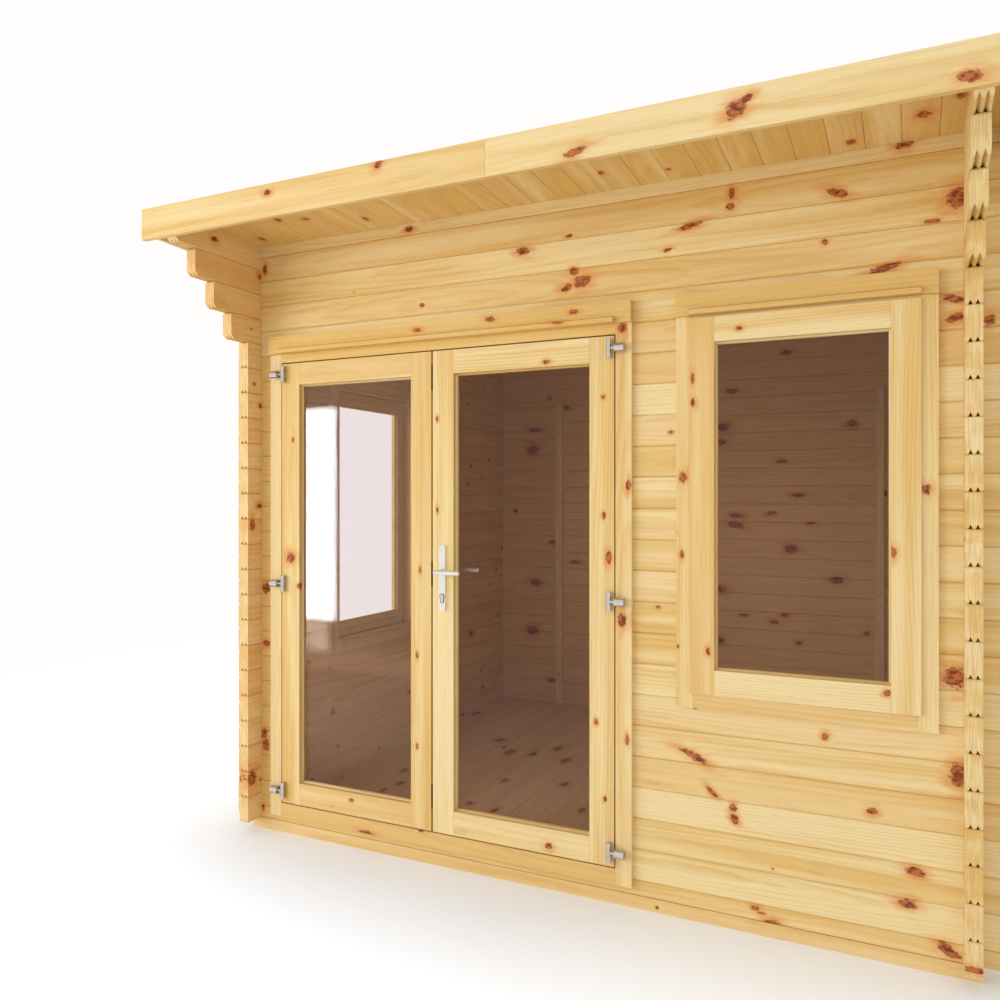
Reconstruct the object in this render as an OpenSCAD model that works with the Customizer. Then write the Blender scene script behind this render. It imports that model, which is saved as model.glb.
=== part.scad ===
// Pent-roof log cabin of interlocking grooved logs, with a glazed double door and two windows.
// X runs to the right along the front, Y towards the rear, Z up. Millimetres.
// The origin is on the ground, under the middle of the roof.

/* [Cabin] */
// Distance between the centre lines of the two side walls
cabin_w = 2630; // [2400:1:3200]
// Depth over the outer faces of the front and rear walls
cabin_d = 2374; // [2000:1:3000]
// Height of the bearers under the walls
bearer_h = 44; // [36:1:60]
// Thickness of the floor boards
floor_t = 19; // [15:1:26]
// Number of joists under the floor
joists = 5; // [3:1:8]

/* [Logs] */
// Thickness of a wall log
log_t = 44; // [38:1:58]
// Height that one log covers
log_h = 104; // [96:1:116]
// Courses in a side wall, with the tapered one at the top
side_courses = 23; // [22:1:26]
// How far a log runs on past the wall that it crosses
log_end = 81; // [60:1:120]
// Bevel along the edges of a log, which makes the joint lines
log_bevel = 3.5; // [2:0.5:6]
// Width of a tongue at its root
tongue_w = 9.5; // [7:0.5:10]
// Height of a tongue
tongue_h = 7; // [5:0.5:9]
// Width of a groove at its mouth
groove_w = 12; // [10.5:0.5:14]
// Depth of a groove
groove_d = 13; // [11:0.5:16]
// Distance between the two tongues
tongue_pitch = 18; // [15:0.5:22]
// How far the tongues stop short of the plain log ends
tongue_back = 25; // [15:1:40]
// Bevel on the plain log ends
end_bevel = 4; // [2:0.5:8]
// Side logs that step out under the front eave
corbels = 4; // [2:1:5]
// How far each of those logs passes the one below
corbel_step = 95; // [60:1:110]
// Bevel under the nose of a stepped log
nose_bevel = 15; // [8:1:24]
// Clearance between pieces that lie against each other
fit = 0.4; // [0.2:0.1:0.8]

/* [Roof] */
// Fall of the roof to the rear, in degrees
roof_pitch = 2.2; // [1:0.1:4]
// How much of the top side log the roof plane takes off at the front wall
top_cut = 10; // [4:1:30]
// Thickness of the roof boards
roof_t = 16; // [14:1:24]
// Thickness of the roofing felt
felt_t = 2.5; // [2:0.5:5]
// Overhang past the outer faces of the side walls, edge boards included
side_eave = 109; // [90:1:160]
// Overhang past the rear wall, edge board included
rear_eave = 110; // [100:1:160]
// Thickness of the front fascia
fascia_t = 20; // [14:1:28]
// Height of the front fascia
fascia_h = 115; // [90:1:140]
// Thickness of the side and rear edge boards
edge_t = 16; // [12:1:22]
// Height of the side and rear edge boards
edge_h = 90; // [60:1:110]
// Thickness of a purlin
purlin_t = 44; // [36:1:60]
// Height of a purlin
purlin_h = 120; // [90:1:150]

/* [Frames] */
// Thickness of a door jamb beside the logs
jamb_t = 35; // [24:1:50]
// How far the frames lap over the wall face
lap = 21; // [12:1:30]
// How far the frames stand out from the wall face
proud = 18; // [12:1:26]
// Thickness of the frame head over the door
head_t = 36; // [24:1:50]
// Height of the threshold
threshold_h = 55; // [40:1:70]
// Rise of the door opening above the bearers
sill_rise = 28; // [16:1:40]
// Width of the stop behind the door leaves
stop_w = 12; // [8:1:16]
// Courses from the base log up to the head of the door and the windows
head_course = 18; // [17:1:19]
// Height of the boards over the openings
trim_h = 73; // [50:1:90]
// Thickness of the boards over the openings
trim_t = 30; // [22:1:36]
// Height of a drip bar
drip_h = 22; // [14:1:30]
// How far a drip bar stands out from its board
drip_out = 20; // [12:1:30]

/* [Door] */
// Width of the wall between door and window, over that of the wall beside either
pier_ratio = 2.375; // [1:0.005:4]
// Width of one leaf
leaf_w = 707; // [640:1:720]
// Thickness of a leaf
leaf_t = 44; // [38:1:54]
// Width of the stiles and rails of a leaf
leaf_rail = 88; // [70:1:110]
// Gap round a leaf
leaf_gap = 5; // [5:0.5:8]
// Gap between the two leaves
meeting_gap = 8; // [7.5:0.5:10]
// How far the panes lie behind the face
pane_set = 22; // [12:1:26]
// Thickness of a double pane
pane_t = 14; // [8:1:18]

/* [Ironmongery] */
// Radius of a hinge barrel
barrel_r = 8; // [6:0.5:9]
// Height of a hinge barrel
barrel_h = 66; // [56:1:90]
// Radius of a hinge pin
pin_r = 4; // [3:0.5:5]
// Height of the frame's knuckle in the middle of a barrel
knuckle_h = 22; // [18:1:32]
// Radius of the sleeve that ties a hinge to the frame
sleeve_r = 15; // [9:0.5:16]
// Length of that sleeve
sleeve_len = 33; // [28:1:42]
// Radius of the neck between the barrel and that sleeve
neck_r = 5; // [4:0.5:6]
// Length of that neck, from the axis of the hinge
neck_len = 22; // [20:0.5:28]
// Distance of the hinge axis from the edge of the leaf
axis_in = 14; // [6:0.5:18]
// Distance of the lowest hinge from the foot of a leaf
hinge_low = 52; // [46:1:120]
// Distance of the highest hinge from the top of a leaf
hinge_high = 43; // [40:1:120]
// Width of a handle plate
plate_w = 26; // [24:1:40]
// Height of a handle plate
plate_h = 244; // [200:1:280]
// Thickness of a handle plate
plate_t = 8; // [5:0.5:10]
// Radius of the corners of a handle plate
plate_corner = 9; // [4:0.5:12]
// Height of the lever above the foot of the leaf
lever_up = 974; // [850:1:1100]
// Distance from the lever down to the lock
lock_drop = 92; // [72:1:98]
// Distance from the lock down to the foot of its plate
plate_drop = 54; // [20:1:80]
// Length of the lever's grip
lever_len = 93; // [80:1:130]
// Radius of the grip
lever_r = 8.5; // [5:0.5:9]
// How far the lever stands out from its plate
lever_out = 50; // [32:1:60]
// Radius of the spindle in the leaf
spindle_r = 5; // [4:0.5:6]
// Radius of the lock cylinder
lock_r = 8.5; // [7:0.5:10]
// How far the lock cylinder stands out from its plate
lock_out = 2; // [1:0.5:4]
// Width of the tail under the lock cylinder
lock_tail_w = 10; // [8:0.5:12]
// Depth of that tail, from the middle of the lock to its rounded foot
lock_tail = 19; // [16:0.5:22]
// Height of a lock keep
keep_h = 95; // [70:1:120]
// Thickness of a lock keep
keep_t = 1.2; // [0.8:0.1:2]
// Width of a lock keep
keep_w = 22; // [18:1:26]
// Distance of a lock keep from the face of the leaf
keep_in = 3; // [2:0.5:8]
// Middle of the lowest keep, above the foot of the leaf
keep_low = 128; // [80:1:200]
// Middle of the highest keep, below the top of the leaf
keep_high = 96; // [80:1:200]

/* [Windows] */
// Middle of the side window, from the outer face of the front wall
window_y = 840; // [780:1:1000]
// Width of a sash
sash_w = 673; // [560:1:690]
// Thickness of a sash
sash_t = 44; // [38:1:54]
// Width of the stiles and rails of a sash
sash_rail = 80; // [60:1:95]
// How far a sash laps over its frame
sash_lip = 16; // [10:1:20]
// Thickness of that lip
lip_t = 12; // [8:1:16]
// Courses under a window
sill_course = 6; // [4:1:8]
// Width of the window frame's jamb beside the logs
window_jamb = 35; // [30:1:44]
// Thickness of the window frame's head
window_head = 21; // [18:1:30]
// Thickness of the window frame's sill
window_sill = 39; // [30:1:48]

/* [Braces] */
// Distance of the left storm brace from the middle of the left wall
brace_left = 429; // [200:1:700]
// Distance of the right storm brace from the middle of the right wall
brace_right = 319; // [200:1:700]
// Width of a storm brace
brace_w = 45; // [35:1:60]
// Thickness of a storm brace
brace_t = 18; // [14:1:24]
// Height of a storm brace
brace_h = 1910; // [1500:1:2100]

/* [Hidden] */
$fn = 48;

// Colours
pine = "burlywood";
pine_end = "tan";
pane = "lightblue";
steel = "silver";

// How far a cut reaches past what it cuts
over = 2;

// Main places
corbel_out = log_end + corbels*corbel_step;
front_eave = corbel_out + 2*fit + fascia_t;
face_y = front_eave - (front_eave + cabin_d + rear_eave)/2;
back_y = face_y + cabin_d;
front_mid = face_y + log_t/2;
back_mid = back_y - log_t/2;
side_x = cabin_w/2;
side_out = side_x + log_t/2;
side_in = side_x - log_t/2;
quarter = log_h/4;
wall_foot = bearer_h;
base_top = wall_foot + log_h/2;

// Roof plane
roof_fall = tan(roof_pitch);
soffit_front = wall_foot + side_courses*log_h - top_cut;
function soffit(y) = soffit_front - (y - face_y)*roof_fall;
roof_front = face_y - corbel_out - fit;
roof_back = back_y + rear_eave;
roof_half = side_out + side_eave;

// Courses: the front and rear walls lie half a course higher than the side walls
function side_z(n) = wall_foot + n*log_h;
function front_z(n) = base_top + n*log_h;
front_top = ceil((soffit(face_y) - base_top)/log_h) - 1;
back_top = ceil((soffit(back_y) - base_top)/log_h) - 1;

// Doorway and leaves
half_way = leaf_w + meeting_gap/2 + leaf_gap;
door_half = half_way + jamb_t;
door_foot = wall_foot + sill_rise;
door_top = front_z(head_course);
leaf_foot = door_foot + threshold_h + leaf_gap;
leaf_h = door_top - head_t - leaf_gap - leaf_foot;
leaf_face = face_y - proud;
leaf_back = leaf_face + leaf_t;
frame_back = face_y + log_t + proud;
stop_y = leaf_back + leaf_gap;
axis_x = half_way - leaf_gap - axis_in;
axis_y = leaf_face - sleeve_r - fit;
hinge_z = [leaf_foot + hinge_low, leaf_foot + leaf_h/2, leaf_foot + leaf_h - hinge_high];
lever_z = leaf_foot + lever_up;
lever_neck_r = lever_r + 1;
lock_z = lever_z - lock_drop;
plate_mid = lock_z - plate_drop + plate_h/2;

// Windows
sash_foot_up = window_sill - sash_lip + leaf_gap;
sash_top_down = window_head - sash_lip + leaf_gap;
window_half = sash_w/2 - sash_lip + leaf_gap + window_jamb;
window_h = (head_course - sill_course)*log_h;
sash_h = window_h - sash_foot_up - sash_top_down;
front_sill = front_z(sill_course);
side_sill = side_z(sill_course);
side_window_mid = face_y + window_y;

// The front between the side walls: pier, door frame, middle pier, window frame, pier
door_frame_w = 2*(door_half + lap);
window_frame_w = 2*(window_half + lap);
pier = (2*side_in - door_frame_w - window_frame_w)/(2 + pier_ratio);
door_x = -side_in + pier + door_frame_w/2;
window_x = side_in - pier - window_frame_w/2;
lever_x = door_x + meeting_gap/2 + leaf_rail/2;

// One log along X, from s0 to s1, standing on z0 with its shoulder at z0 + h.
// notches are the places where it crosses other walls, core the heights left there,
// and nose and tail the bevels [below, above] at its two ends.
module wall_log(s0, s1, z0, h = log_h, notches = [], core = undef, nose = [0, 0], tail = [0, 0],
                tongued = true) {
    shoulder = z0 + h - fit;
    top = shoulder + (tongued ? tongue_h : 0);
    left = is_undef(core) ? [z0 + quarter, z0 + 3*quarter] : core;
    intersection() {
        rotate([90, 0, 0])
            linear_extrude(log_t, center = true)
                polygon(log_outline(s0, s1, z0, shoulder, top, notches, left, nose, tail));
        translate([s0, 0, z0])
            rotate([90, 0, 90])
                linear_extrude(s1 - s0)
                    polygon(log_section(shoulder - z0, tongued));
    }
}

// Section of a log: two pointed grooves below, two tongues above, bevelled edges
function log_section(h, tongued) = concat(
    [[-log_t/2, log_bevel], [-log_t/2 + log_bevel, 0]],
    [for (side = [-1, 1])
        each [[side*tongue_pitch/2 - groove_w/2, 0],
              [side*tongue_pitch/2, groove_d],
              [side*tongue_pitch/2 + groove_w/2, 0]]],
    [[log_t/2 - log_bevel, 0], [log_t/2, log_bevel]],
    [[log_t/2, h - log_bevel], [log_t/2 - log_bevel, h]],
    tongued ? [for (side = [1, -1])
        each [[side*tongue_pitch/2 + tongue_w/2, h],
              [side*tongue_pitch/2 + tongue_w/5, h + tongue_h],
              [side*tongue_pitch/2 - tongue_w/5, h + tongue_h],
              [side*tongue_pitch/2 - tongue_w/2, h]]] : [],
    [[-log_t/2 + log_bevel, h], [-log_t/2, h - log_bevel]]);

// Side view of a log, with its bevelled ends and the notches where it crosses other logs
function log_outline(s0, s1, z0, shoulder, top, notches, core, nose, tail) =
    let (reach = log_t/2 + fit, low = core[0] + fit/2, high = core[1] - fit/2)
    concat(
        nose[0] > 0 ? [[s0, z0 + nose[0]], [s0 + nose[0], z0]] : [[s0, z0]],
        [for (c = notches) if (core[0] > z0)
            each [[c - reach, z0], [c - reach, low], [c + reach, low], [c + reach, z0]]],
        tail[0] > 0 ? [[s1 - tail[0], z0], [s1, z0 + tail[0]]] : [[s1, z0]],
        tail[1] > 0 ? [[s1, shoulder - tail[1]], [s1 - tail[1], shoulder],
                       [s1 - tongue_back, shoulder], [s1 - tongue_back, top]] : [[s1, top]],
        [for (i = [len(notches) - 1:-1:0]) if (core[1] < shoulder)
            each [[notches[i] + reach, top], [notches[i] + reach, high],
                  [notches[i] - reach, high], [notches[i] - reach, top]]],
        nose[1] > 0 ? [[s0 + tongue_back, top], [s0 + tongue_back, shoulder],
                       [s0 + nose[1], shoulder], [s0, shoulder - nose[1]]] : [[s0, top]]);

// Placing: logs of the front and rear walls, and of the left (-1) and right (1) walls
module in_front() { translate([0, front_mid, 0]) children(); }
module in_rear() { translate([0, back_mid, 0]) children(); }
module in_side(side) { translate([side*side_x, 0, 0]) rotate([0, 0, 90]) children(); }

// A shape drawn in the Y-Z plane, drawn out along X
module along_x(x0, x1) { translate([x0, 0, 0]) rotate([90, 0, 90]) linear_extrude(x1 - x0) children(); }

// All the room below the roof boards
module under_roof() {
    reach = side_out + log_end + over;
    start = roof_front - over;
    along_x(-reach, reach)
        polygon([[start, 0], [roof_back, 0], [roof_back, soffit(roof_back) - fit],
                 [start, soffit(start) - fit]]);
}

plain_end = [end_bevel, end_bevel];
wall_end = side_out + log_end;
door_left = door_x - door_half;
door_right = door_x + door_half;
window_left = window_x - window_half;
window_right = window_x + window_half;

module front_wall_base_log() {
    color(pine)
        difference() {
            in_front()
                wall_log(-wall_end, wall_end, wall_foot, base_top - wall_foot, [-side_x, side_x],
                         [wall_foot, wall_foot + quarter], plain_end, plain_end);
            translate([door_left, face_y - over, door_foot])
                cube([2*door_half, log_t + 2*over, log_h]);
        }
}

module front_wall_left_logs() {
    color(pine)
        for (n = [0:head_course - 1])
            in_front() wall_log(-wall_end, door_left, front_z(n), notches = [-side_x], nose = plain_end);
}

module front_wall_low_logs() {
    color(pine) {
        for (n = [0:sill_course - 2])
            in_front() wall_log(door_right, wall_end, front_z(n), notches = [side_x], tail = plain_end);
        difference() {
            in_front() wall_log(door_right, wall_end, front_z(sill_course - 1), notches = [side_x],
                                tail = plain_end);
            at_front_window() tongue_cut();
        }
    }
}

module front_wall_mid_logs() {
    color(pine)
        for (n = [sill_course:head_course - 1])
            in_front() wall_log(door_right, window_left, front_z(n));
}

module front_wall_right_logs() {
    color(pine)
        for (n = [sill_course:head_course - 1])
            in_front() wall_log(window_right, wall_end, front_z(n), notches = [side_x], tail = plain_end);
}

module front_wall_top_logs() {
    color(pine) {
        for (n = [head_course:front_top - 1])
            in_front() wall_log(-wall_end, wall_end, front_z(n), notches = [-side_x, side_x],
                                nose = plain_end, tail = plain_end);
        intersection() {
            in_front() wall_log(-wall_end, wall_end, front_z(front_top), notches = [-side_x, side_x],
                                nose = plain_end, tail = plain_end);
            under_roof();
        }
    }
}

module rear_wall_logs() {
    color(pine) {
        in_rear() wall_log(-wall_end, wall_end, wall_foot, base_top - wall_foot, [-side_x, side_x],
                           [wall_foot, wall_foot + quarter], plain_end, plain_end);
        for (n = [0:back_top - 1])
            in_rear() wall_log(-wall_end, wall_end, front_z(n), notches = [-side_x, side_x],
                               nose = plain_end, tail = plain_end);
        intersection() {
            in_rear() wall_log(-wall_end, wall_end, front_z(back_top), notches = [-side_x, side_x],
                               nose = plain_end, tail = plain_end);
            under_roof();
        }
    }
}

// Side walls: each stepped log under the eave passes the one below
function log_front(n) = face_y - log_end - corbel_step*max(0, n - (side_courses - 1 - corbels));
function nose_of(n) = n > side_courses - 1 - corbels ? [nose_bevel, nose_bevel/2] : plain_end;
log_back = back_y + log_end;

module side_log(side, n) {
    in_side(side)
        wall_log(log_front(n), log_back, side_z(n), notches = [front_mid, back_mid],
                 nose = nose_of(n), tail = plain_end);
}

// The top side log is tapered to the roof and ends at the rear wall
module tapered_log(side) {
    top = side_courses - 1;
    intersection() {
        in_side(side)
            wall_log(log_front(top), back_y - log_t - fit, side_z(top), log_h + corbel_out*roof_fall,
                     [front_mid], nose = [nose_bevel, 0], tongued = false);
        under_roof();
    }
}

module side_top_logs(side, first) {
    difference() {
        union() {
            for (n = [first:side_courses - 2])
                intersection() {
                    side_log(side, n);
                    under_roof();
                }
            tapered_log(side);
        }
        for (y = purlin_y)
            translate([side*side_x - log_t/2 - over, y - purlin_t/2 - fit, purlin_foot(y) - fit])
                cube([log_t + 2*over, purlin_t + 2*fit, purlin_h + 2*log_h]);
    }
}

module right_wall_logs() {
    color(pine)
        for (n = [0:head_course])
            side_log(1, n);
}

module right_wall_top_logs() {
    color(pine) side_top_logs(1, head_course + 1);
}

module left_wall_low_logs() {
    color(pine) {
        for (n = [0:sill_course - 2])
            side_log(-1, n);
        difference() {
            side_log(-1, sill_course - 1);
            at_side_window() tongue_cut();
        }
    }
}

module left_wall_front_logs() {
    color(pine)
        for (n = [sill_course:head_course - 1])
            in_side(-1) wall_log(log_front(n), side_window_mid - window_half, side_z(n),
                                 notches = [front_mid], nose = nose_of(n));
}

module left_wall_rear_logs() {
    color(pine)
        for (n = [sill_course:head_course - 1])
            in_side(-1) wall_log(side_window_mid + window_half, log_back, side_z(n),
                                 notches = [back_mid], tail = plain_end);
}

module left_wall_top_logs() {
    color(pine) side_top_logs(-1, head_course);
}

// Floor
module floor_bearers() {
    color(pine_end) {
        for (y = [face_y, back_y - log_t])
            translate([-side_out, y, 0])
                cube([2*side_out, log_t, bearer_h - fit]);
        for (i = [0:joists - 1])
            translate([-side_x + i*cabin_w/(joists - 1) - log_t/2, face_y + log_t + fit, 0])
                cube([log_t, cabin_d - 2*log_t - 2*fit, bearer_h - fit]);
    }
}

module floor_deck() {
    color(pine_end)
        translate([-side_in + fit, face_y + log_t + fit, bearer_h])
            cube([2*side_in - 2*fit, cabin_d - 2*log_t - 2*fit, floor_t]);
}

// Roof
purlin_y = [face_y + cabin_d/3, face_y + 2*cabin_d/3];
function purlin_foot(y) = soffit(y) - purlin_h;

module roof_purlins() {
    color(pine)
        for (y = purlin_y)
            intersection() {
                translate([-wall_end, y - purlin_t/2, purlin_foot(y)])
                    cube([2*wall_end, purlin_t, purlin_h + log_h]);
                under_roof();
            }
}

// A sloped sheet of the roof: its foot is lift above the soffit
module roof_sheet(half, y0, y1, lift, thick) {
    along_x(-half, half)
        polygon([[y0, soffit(y0) + lift], [y1, soffit(y1) + lift],
                 [y1, soffit(y1) + lift + thick], [y0, soffit(y0) + lift + thick]]);
}

module roof_deck() {
    color(pine) roof_sheet(roof_half - edge_t - fit, roof_front, roof_back - edge_t - fit, 0, roof_t);
}

module roof_felt() {
    color("dimgray")
        roof_sheet(roof_half - edge_t - fit, roof_front, roof_back - edge_t - fit, roof_t + fit, felt_t);
}

fascia_top = soffit(roof_front) + roof_t + felt_t;

module front_fascia() {
    color(pine)
        for (x = [-roof_half, fit])
            translate([x, roof_front - fit - fascia_t, fascia_top - fascia_h])
                cube([roof_half - fit, fascia_t, fascia_h]);
}

module roof_edge_boards() {
    lift = roof_t + felt_t - edge_h;
    color(pine) {
        for (x = [-roof_half, roof_half - edge_t])
            along_x(x, x + edge_t)
                polygon([[roof_front, soffit(roof_front) + lift],
                         [roof_back - edge_t - fit, soffit(roof_back) + lift],
                         [roof_back - edge_t - fit, soffit(roof_back) + lift + edge_h],
                         [roof_front, soffit(roof_front) + lift + edge_h]]);
        translate([-roof_half, roof_back - edge_t, soffit(roof_back) + lift])
            cube([2*roof_half, edge_t, edge_h]);
    }
}

// Door frame: jambs grooved over the log ends, with a stop behind the leaves
module door_jambs() {
    stop_foot = door_foot + threshold_h + stop_w + fit;
    stop_top = door_top - head_t - stop_w - fit;
    color(pine)
        for (side = [-1, 1])
            translate([door_x, 0, 0])
                mirror([side > 0 ? 1 : 0, 0, 0]) {
                    translate([0, 0, door_foot])
                        linear_extrude(door_top - door_foot - fit)
                            polygon([[-door_half - lap, leaf_face], [-half_way, leaf_face],
                                     [-half_way, frame_back], [-door_half - lap, frame_back],
                                     [-door_half - lap, face_y + log_t + fit],
                                     [-door_half + fit, face_y + log_t + fit],
                                     [-door_half + fit, face_y - fit], [-door_half - lap, face_y - fit]]);
                    translate([-half_way - stop_w, stop_y, stop_foot])
                        cube([2*stop_w, frame_back - stop_y, stop_top - stop_foot]);
                }
}

module door_head() {
    foot = door_top - head_t;
    color(pine)
        along_x(door_x - half_way + fit, door_x + half_way - fit)
            polygon([[leaf_face, foot], [stop_y, foot], [stop_y, foot - stop_w],
                     [frame_back, foot - stop_w], [frame_back, door_top - fit],
                     [leaf_face, door_top - fit]]);
}

module door_threshold() {
    top = door_foot + threshold_h;
    color(pine)
        along_x(door_x - half_way + fit, door_x + half_way - fit)
            polygon([[leaf_face, door_foot + fit], [frame_back, door_foot + fit],
                     [frame_back, top + stop_w], [stop_y, top + stop_w], [stop_y, top], [leaf_face, top]]);
}

// Boards over an opening from x0 to x1, outside and inside, standing on z
module head_trims(x0, x1, y, z) {
    for (place = [[y - trim_t, trim_t - fit], [y + log_t + fit, proud - fit]])
        translate([x0, place[0], z])
            cube([x1 - x0, place[1], trim_h]);
}

// Drip bar under the board: its top slopes outwards
module drip_bar(x0, x1, y, z) {
    back = y - trim_t - fit;
    along_x(x0, x1)
        polygon([[back, z], [back, z + drip_h], [back - drip_out, z + drip_h*2/3], [back - drip_out, z]]);
}

module front_head_trims() {
    color(pine) {
        head_trims(door_left - lap, door_right + lap, face_y, door_top);
        head_trims(window_left - lap, window_right + lap, face_y, door_top);
    }
}

module front_drip_bars() {
    color(pine) {
        drip_bar(door_x - half_way, door_x + half_way, face_y, door_top + fit);
        drip_bar(window_x - sash_w/2, window_x + sash_w/2, face_y, door_top + fit);
    }
}

// Hinges: the frame's pin, knuckle, neck and sleeve, and the leaf's two knuckles on their feet
module for_hinges(side) {
    for (z = hinge_z)
        translate([door_x + side*axis_x, axis_y, z])
            mirror([side > 0 ? 1 : 0, 0, 0])
                children();
}

module hinge_pin() {
    cylinder(r = pin_r, h = barrel_h, center = true);
    cylinder(r = barrel_r, h = knuckle_h, center = true);
    rotate([0, -90, 0]) {
        cylinder(r = neck_r, h = neck_len + sleeve_len/2);
        translate([0, 0, neck_len]) cylinder(r = sleeve_r, h = sleeve_len);
    }
}

module hinge_knuckles() {
    height = (barrel_h - knuckle_h)/2 - fit;
    for (z = [-barrel_h/2, knuckle_h/2 + fit])
        difference() {
            union() {
                translate([0, 0, z]) cylinder(r = barrel_r, h = height);
                translate([-pin_r, 0, z]) cube([2*pin_r, sleeve_r + fit, height]);
            }
            cylinder(r = pin_r + fit/2, h = 2*barrel_h, center = true);
        }
}

module door_hinge_pins() {
    color(steel)
        for (side = [-1, 1])
            for_hinges(side) hinge_pin();
}

module left_door_hinges() {
    color(steel) for_hinges(-1) hinge_knuckles();
}

module right_door_hinges() {
    color(steel) for_hinges(1) hinge_knuckles();
}

// Leaves: side -1 is the left one, with the edges measured from the middle of the doorway
function leaf_edge(side) = door_x + (side < 0 ? -meeting_gap/2 - leaf_w : meeting_gap/2);

module leaf_stiles(side) {
    for (x = [0, leaf_w - leaf_rail])
        translate([leaf_edge(side) + x, leaf_face, leaf_foot])
            cube([leaf_rail, leaf_t, leaf_h]);
}

module leaf_rails(side) {
    for (z = [0, leaf_h - leaf_rail])
        translate([leaf_edge(side) + leaf_rail + fit, leaf_face, leaf_foot + z])
            cube([leaf_w - 2*leaf_rail - 2*fit, leaf_t, leaf_rail]);
}

module leaf_pane(side) {
    translate([leaf_edge(side) + leaf_rail + fit, leaf_face + pane_set, leaf_foot + leaf_rail + fit])
        cube([leaf_w - 2*leaf_rail - 2*fit, pane_t, leaf_h - 2*leaf_rail - 2*fit]);
}

module left_door_stiles() {
    color(pine)
        difference() {
            leaf_stiles(-1);
            keeps(fit);
        }
}

module left_door_rails() { color(pine) leaf_rails(-1); }
module left_door_glass() { color(pane) leaf_pane(-1); }
module right_door_rails() { color(pine) leaf_rails(1); }
module right_door_glass() { color(pane) leaf_pane(1); }

// Round bar through the leaf, from y to as far behind it
module through_leaf(y, z) {
    translate([lever_x, leaf_face - y, z]) rotate([-90, 0, 0]) linear_extrude(leaf_t + 2*y) children();
}

// Section of the lock: a round barrel over a narrow tail
module lock_section(grow) {
    circle(r = lock_r + grow);
    translate([0, lock_tail/2]) square([lock_tail_w + 2*grow, lock_tail], center = true);
    translate([0, lock_tail]) circle(r = lock_tail_w/2 + grow);
}

// Holes of the lever and the lock, right through the leaf
module handle_holes(lever_hole) {
    through_leaf(2*plate_t, lever_z) circle(r = lever_hole);
    through_leaf(2*plate_t, lock_z) lock_section(fit);
}

module right_door_stiles() {
    color(pine)
        difference() {
            leaf_stiles(1);
            handle_holes(spindle_r + fit);
        }
}

module plate_outline() {
    square([plate_w - 2*plate_corner, plate_h], center = true);
    square([plate_w, plate_h - 2*plate_corner], center = true);
    for (x = [-1, 1], y = [-1, 1])
        translate([x*(plate_w/2 - plate_corner), y*(plate_h/2 - plate_corner)])
            circle(r = plate_corner);
}

module handle_plates() {
    color(steel)
        difference() {
            for (y = [leaf_face, leaf_back + plate_t])
                translate([lever_x, y, plate_mid])
                    rotate([90, 0, 0])
                        linear_extrude(plate_t) plate_outline();
            handle_holes(lever_neck_r + fit);
        }
}

module lock_cylinder() {
    color(steel) through_leaf(plate_t + lock_out, lock_z) lock_section(0);
}

// Both grips and the spindle turn together
module door_lever() {
    out = leaf_face - plate_t - lever_out;
    inner = leaf_back + plate_t + lever_out;
    color(steel)
        translate([lever_x, 0, lever_z]) {
            translate([0, out, 0]) rotate([-90, 0, 0]) cylinder(r = spindle_r, h = inner - out);
            for (neck = [[out, lever_out + plate_t], [inner - lever_out - plate_t, lever_out + plate_t]])
                translate([0, neck[0], 0]) rotate([-90, 0, 0]) cylinder(r = lever_neck_r, h = neck[1]);
            for (y = [out, inner])
                translate([0, y, 0]) {
                    sphere(r = lever_neck_r);
                    rotate([0, 90, 0]) cylinder(r = lever_r, h = lever_len);
                    translate([lever_len, 0, 0]) sphere(r = lever_r);
                }
        }
}

// Keeps let in flush in the edge of the left leaf
module keeps(grow) {
    for (z = [leaf_foot + keep_low, (lever_z + plate_mid)/2, leaf_foot + leaf_h - keep_high])
        translate([door_x - meeting_gap/2 - keep_t - grow, leaf_face + keep_in - grow, z - keep_h/2 - grow])
            cube([keep_t + 2*grow, keep_w + 2*grow, keep_h + 2*grow]);
}

module lock_keeps() {
    color("dimgray") keeps(0);
}

// Windows: drawn for a wall along X whose outer face is at y = 0, standing on z = 0
module window_frame() {
    inner = window_half - window_jamb;
    for (side = [-1, 1])
        mirror([side > 0 ? 1 : 0, 0, 0]) {
            translate([-window_half + fit, -proud, fit])
                cube([window_jamb - fit, log_t + 2*proud, window_h - 2*fit]);
            for (y = [-proud, log_t + fit])
                translate([-window_half - lap, y, -lap])
                    cube([window_jamb + lap, proud - fit, window_h + lap - fit]);
        }
    along_x(-inner + fit, inner - fit)
        polygon([[-proud, window_h - window_head], [log_t + proud, window_h - window_head],
                 [log_t + proud, window_h - fit], [-proud, window_h - fit]]);
    along_x(-inner + fit, inner - fit)
        polygon([[-proud, -lap], [-fit, -lap], [-fit, fit], [log_t + fit, fit], [log_t + fit, -lap],
                 [log_t + proud, -lap], [log_t + proud, window_sill], [-proud, window_sill]]);
}

// The tongues of the log under a window are planed off
module tongue_cut() {
    translate([-window_half, -over, -fit])
        cube([2*window_half, log_t + 2*over, 2*tongue_h]);
}

module window_sash() {
    half = sash_w/2;
    front = -proud - lip_t;
    back = front + sash_t;
    lip_back = -proud - fit;
    for (side = [-1, 1])
        mirror([side > 0 ? 1 : 0, 0, 0]) {
            translate([-half, front, sash_foot_up])
                cube([sash_rail, lip_back - front, sash_h]);
            translate([-half + sash_lip, front, sash_foot_up + sash_lip])
                cube([sash_rail - sash_lip, sash_t, sash_h - 2*sash_lip]);
        }
    for (place = [[sash_foot_up, 1], [sash_foot_up + sash_h, -1]])
        along_x(-half + sash_rail + fit, half - sash_rail - fit)
            polygon([for (p = [[front, 0], [front, sash_rail], [back, sash_rail], [back, sash_lip],
                               [lip_back, sash_lip], [lip_back, 0]])
                        [p[0], place[0] + place[1]*p[1]]]);
}

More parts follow.
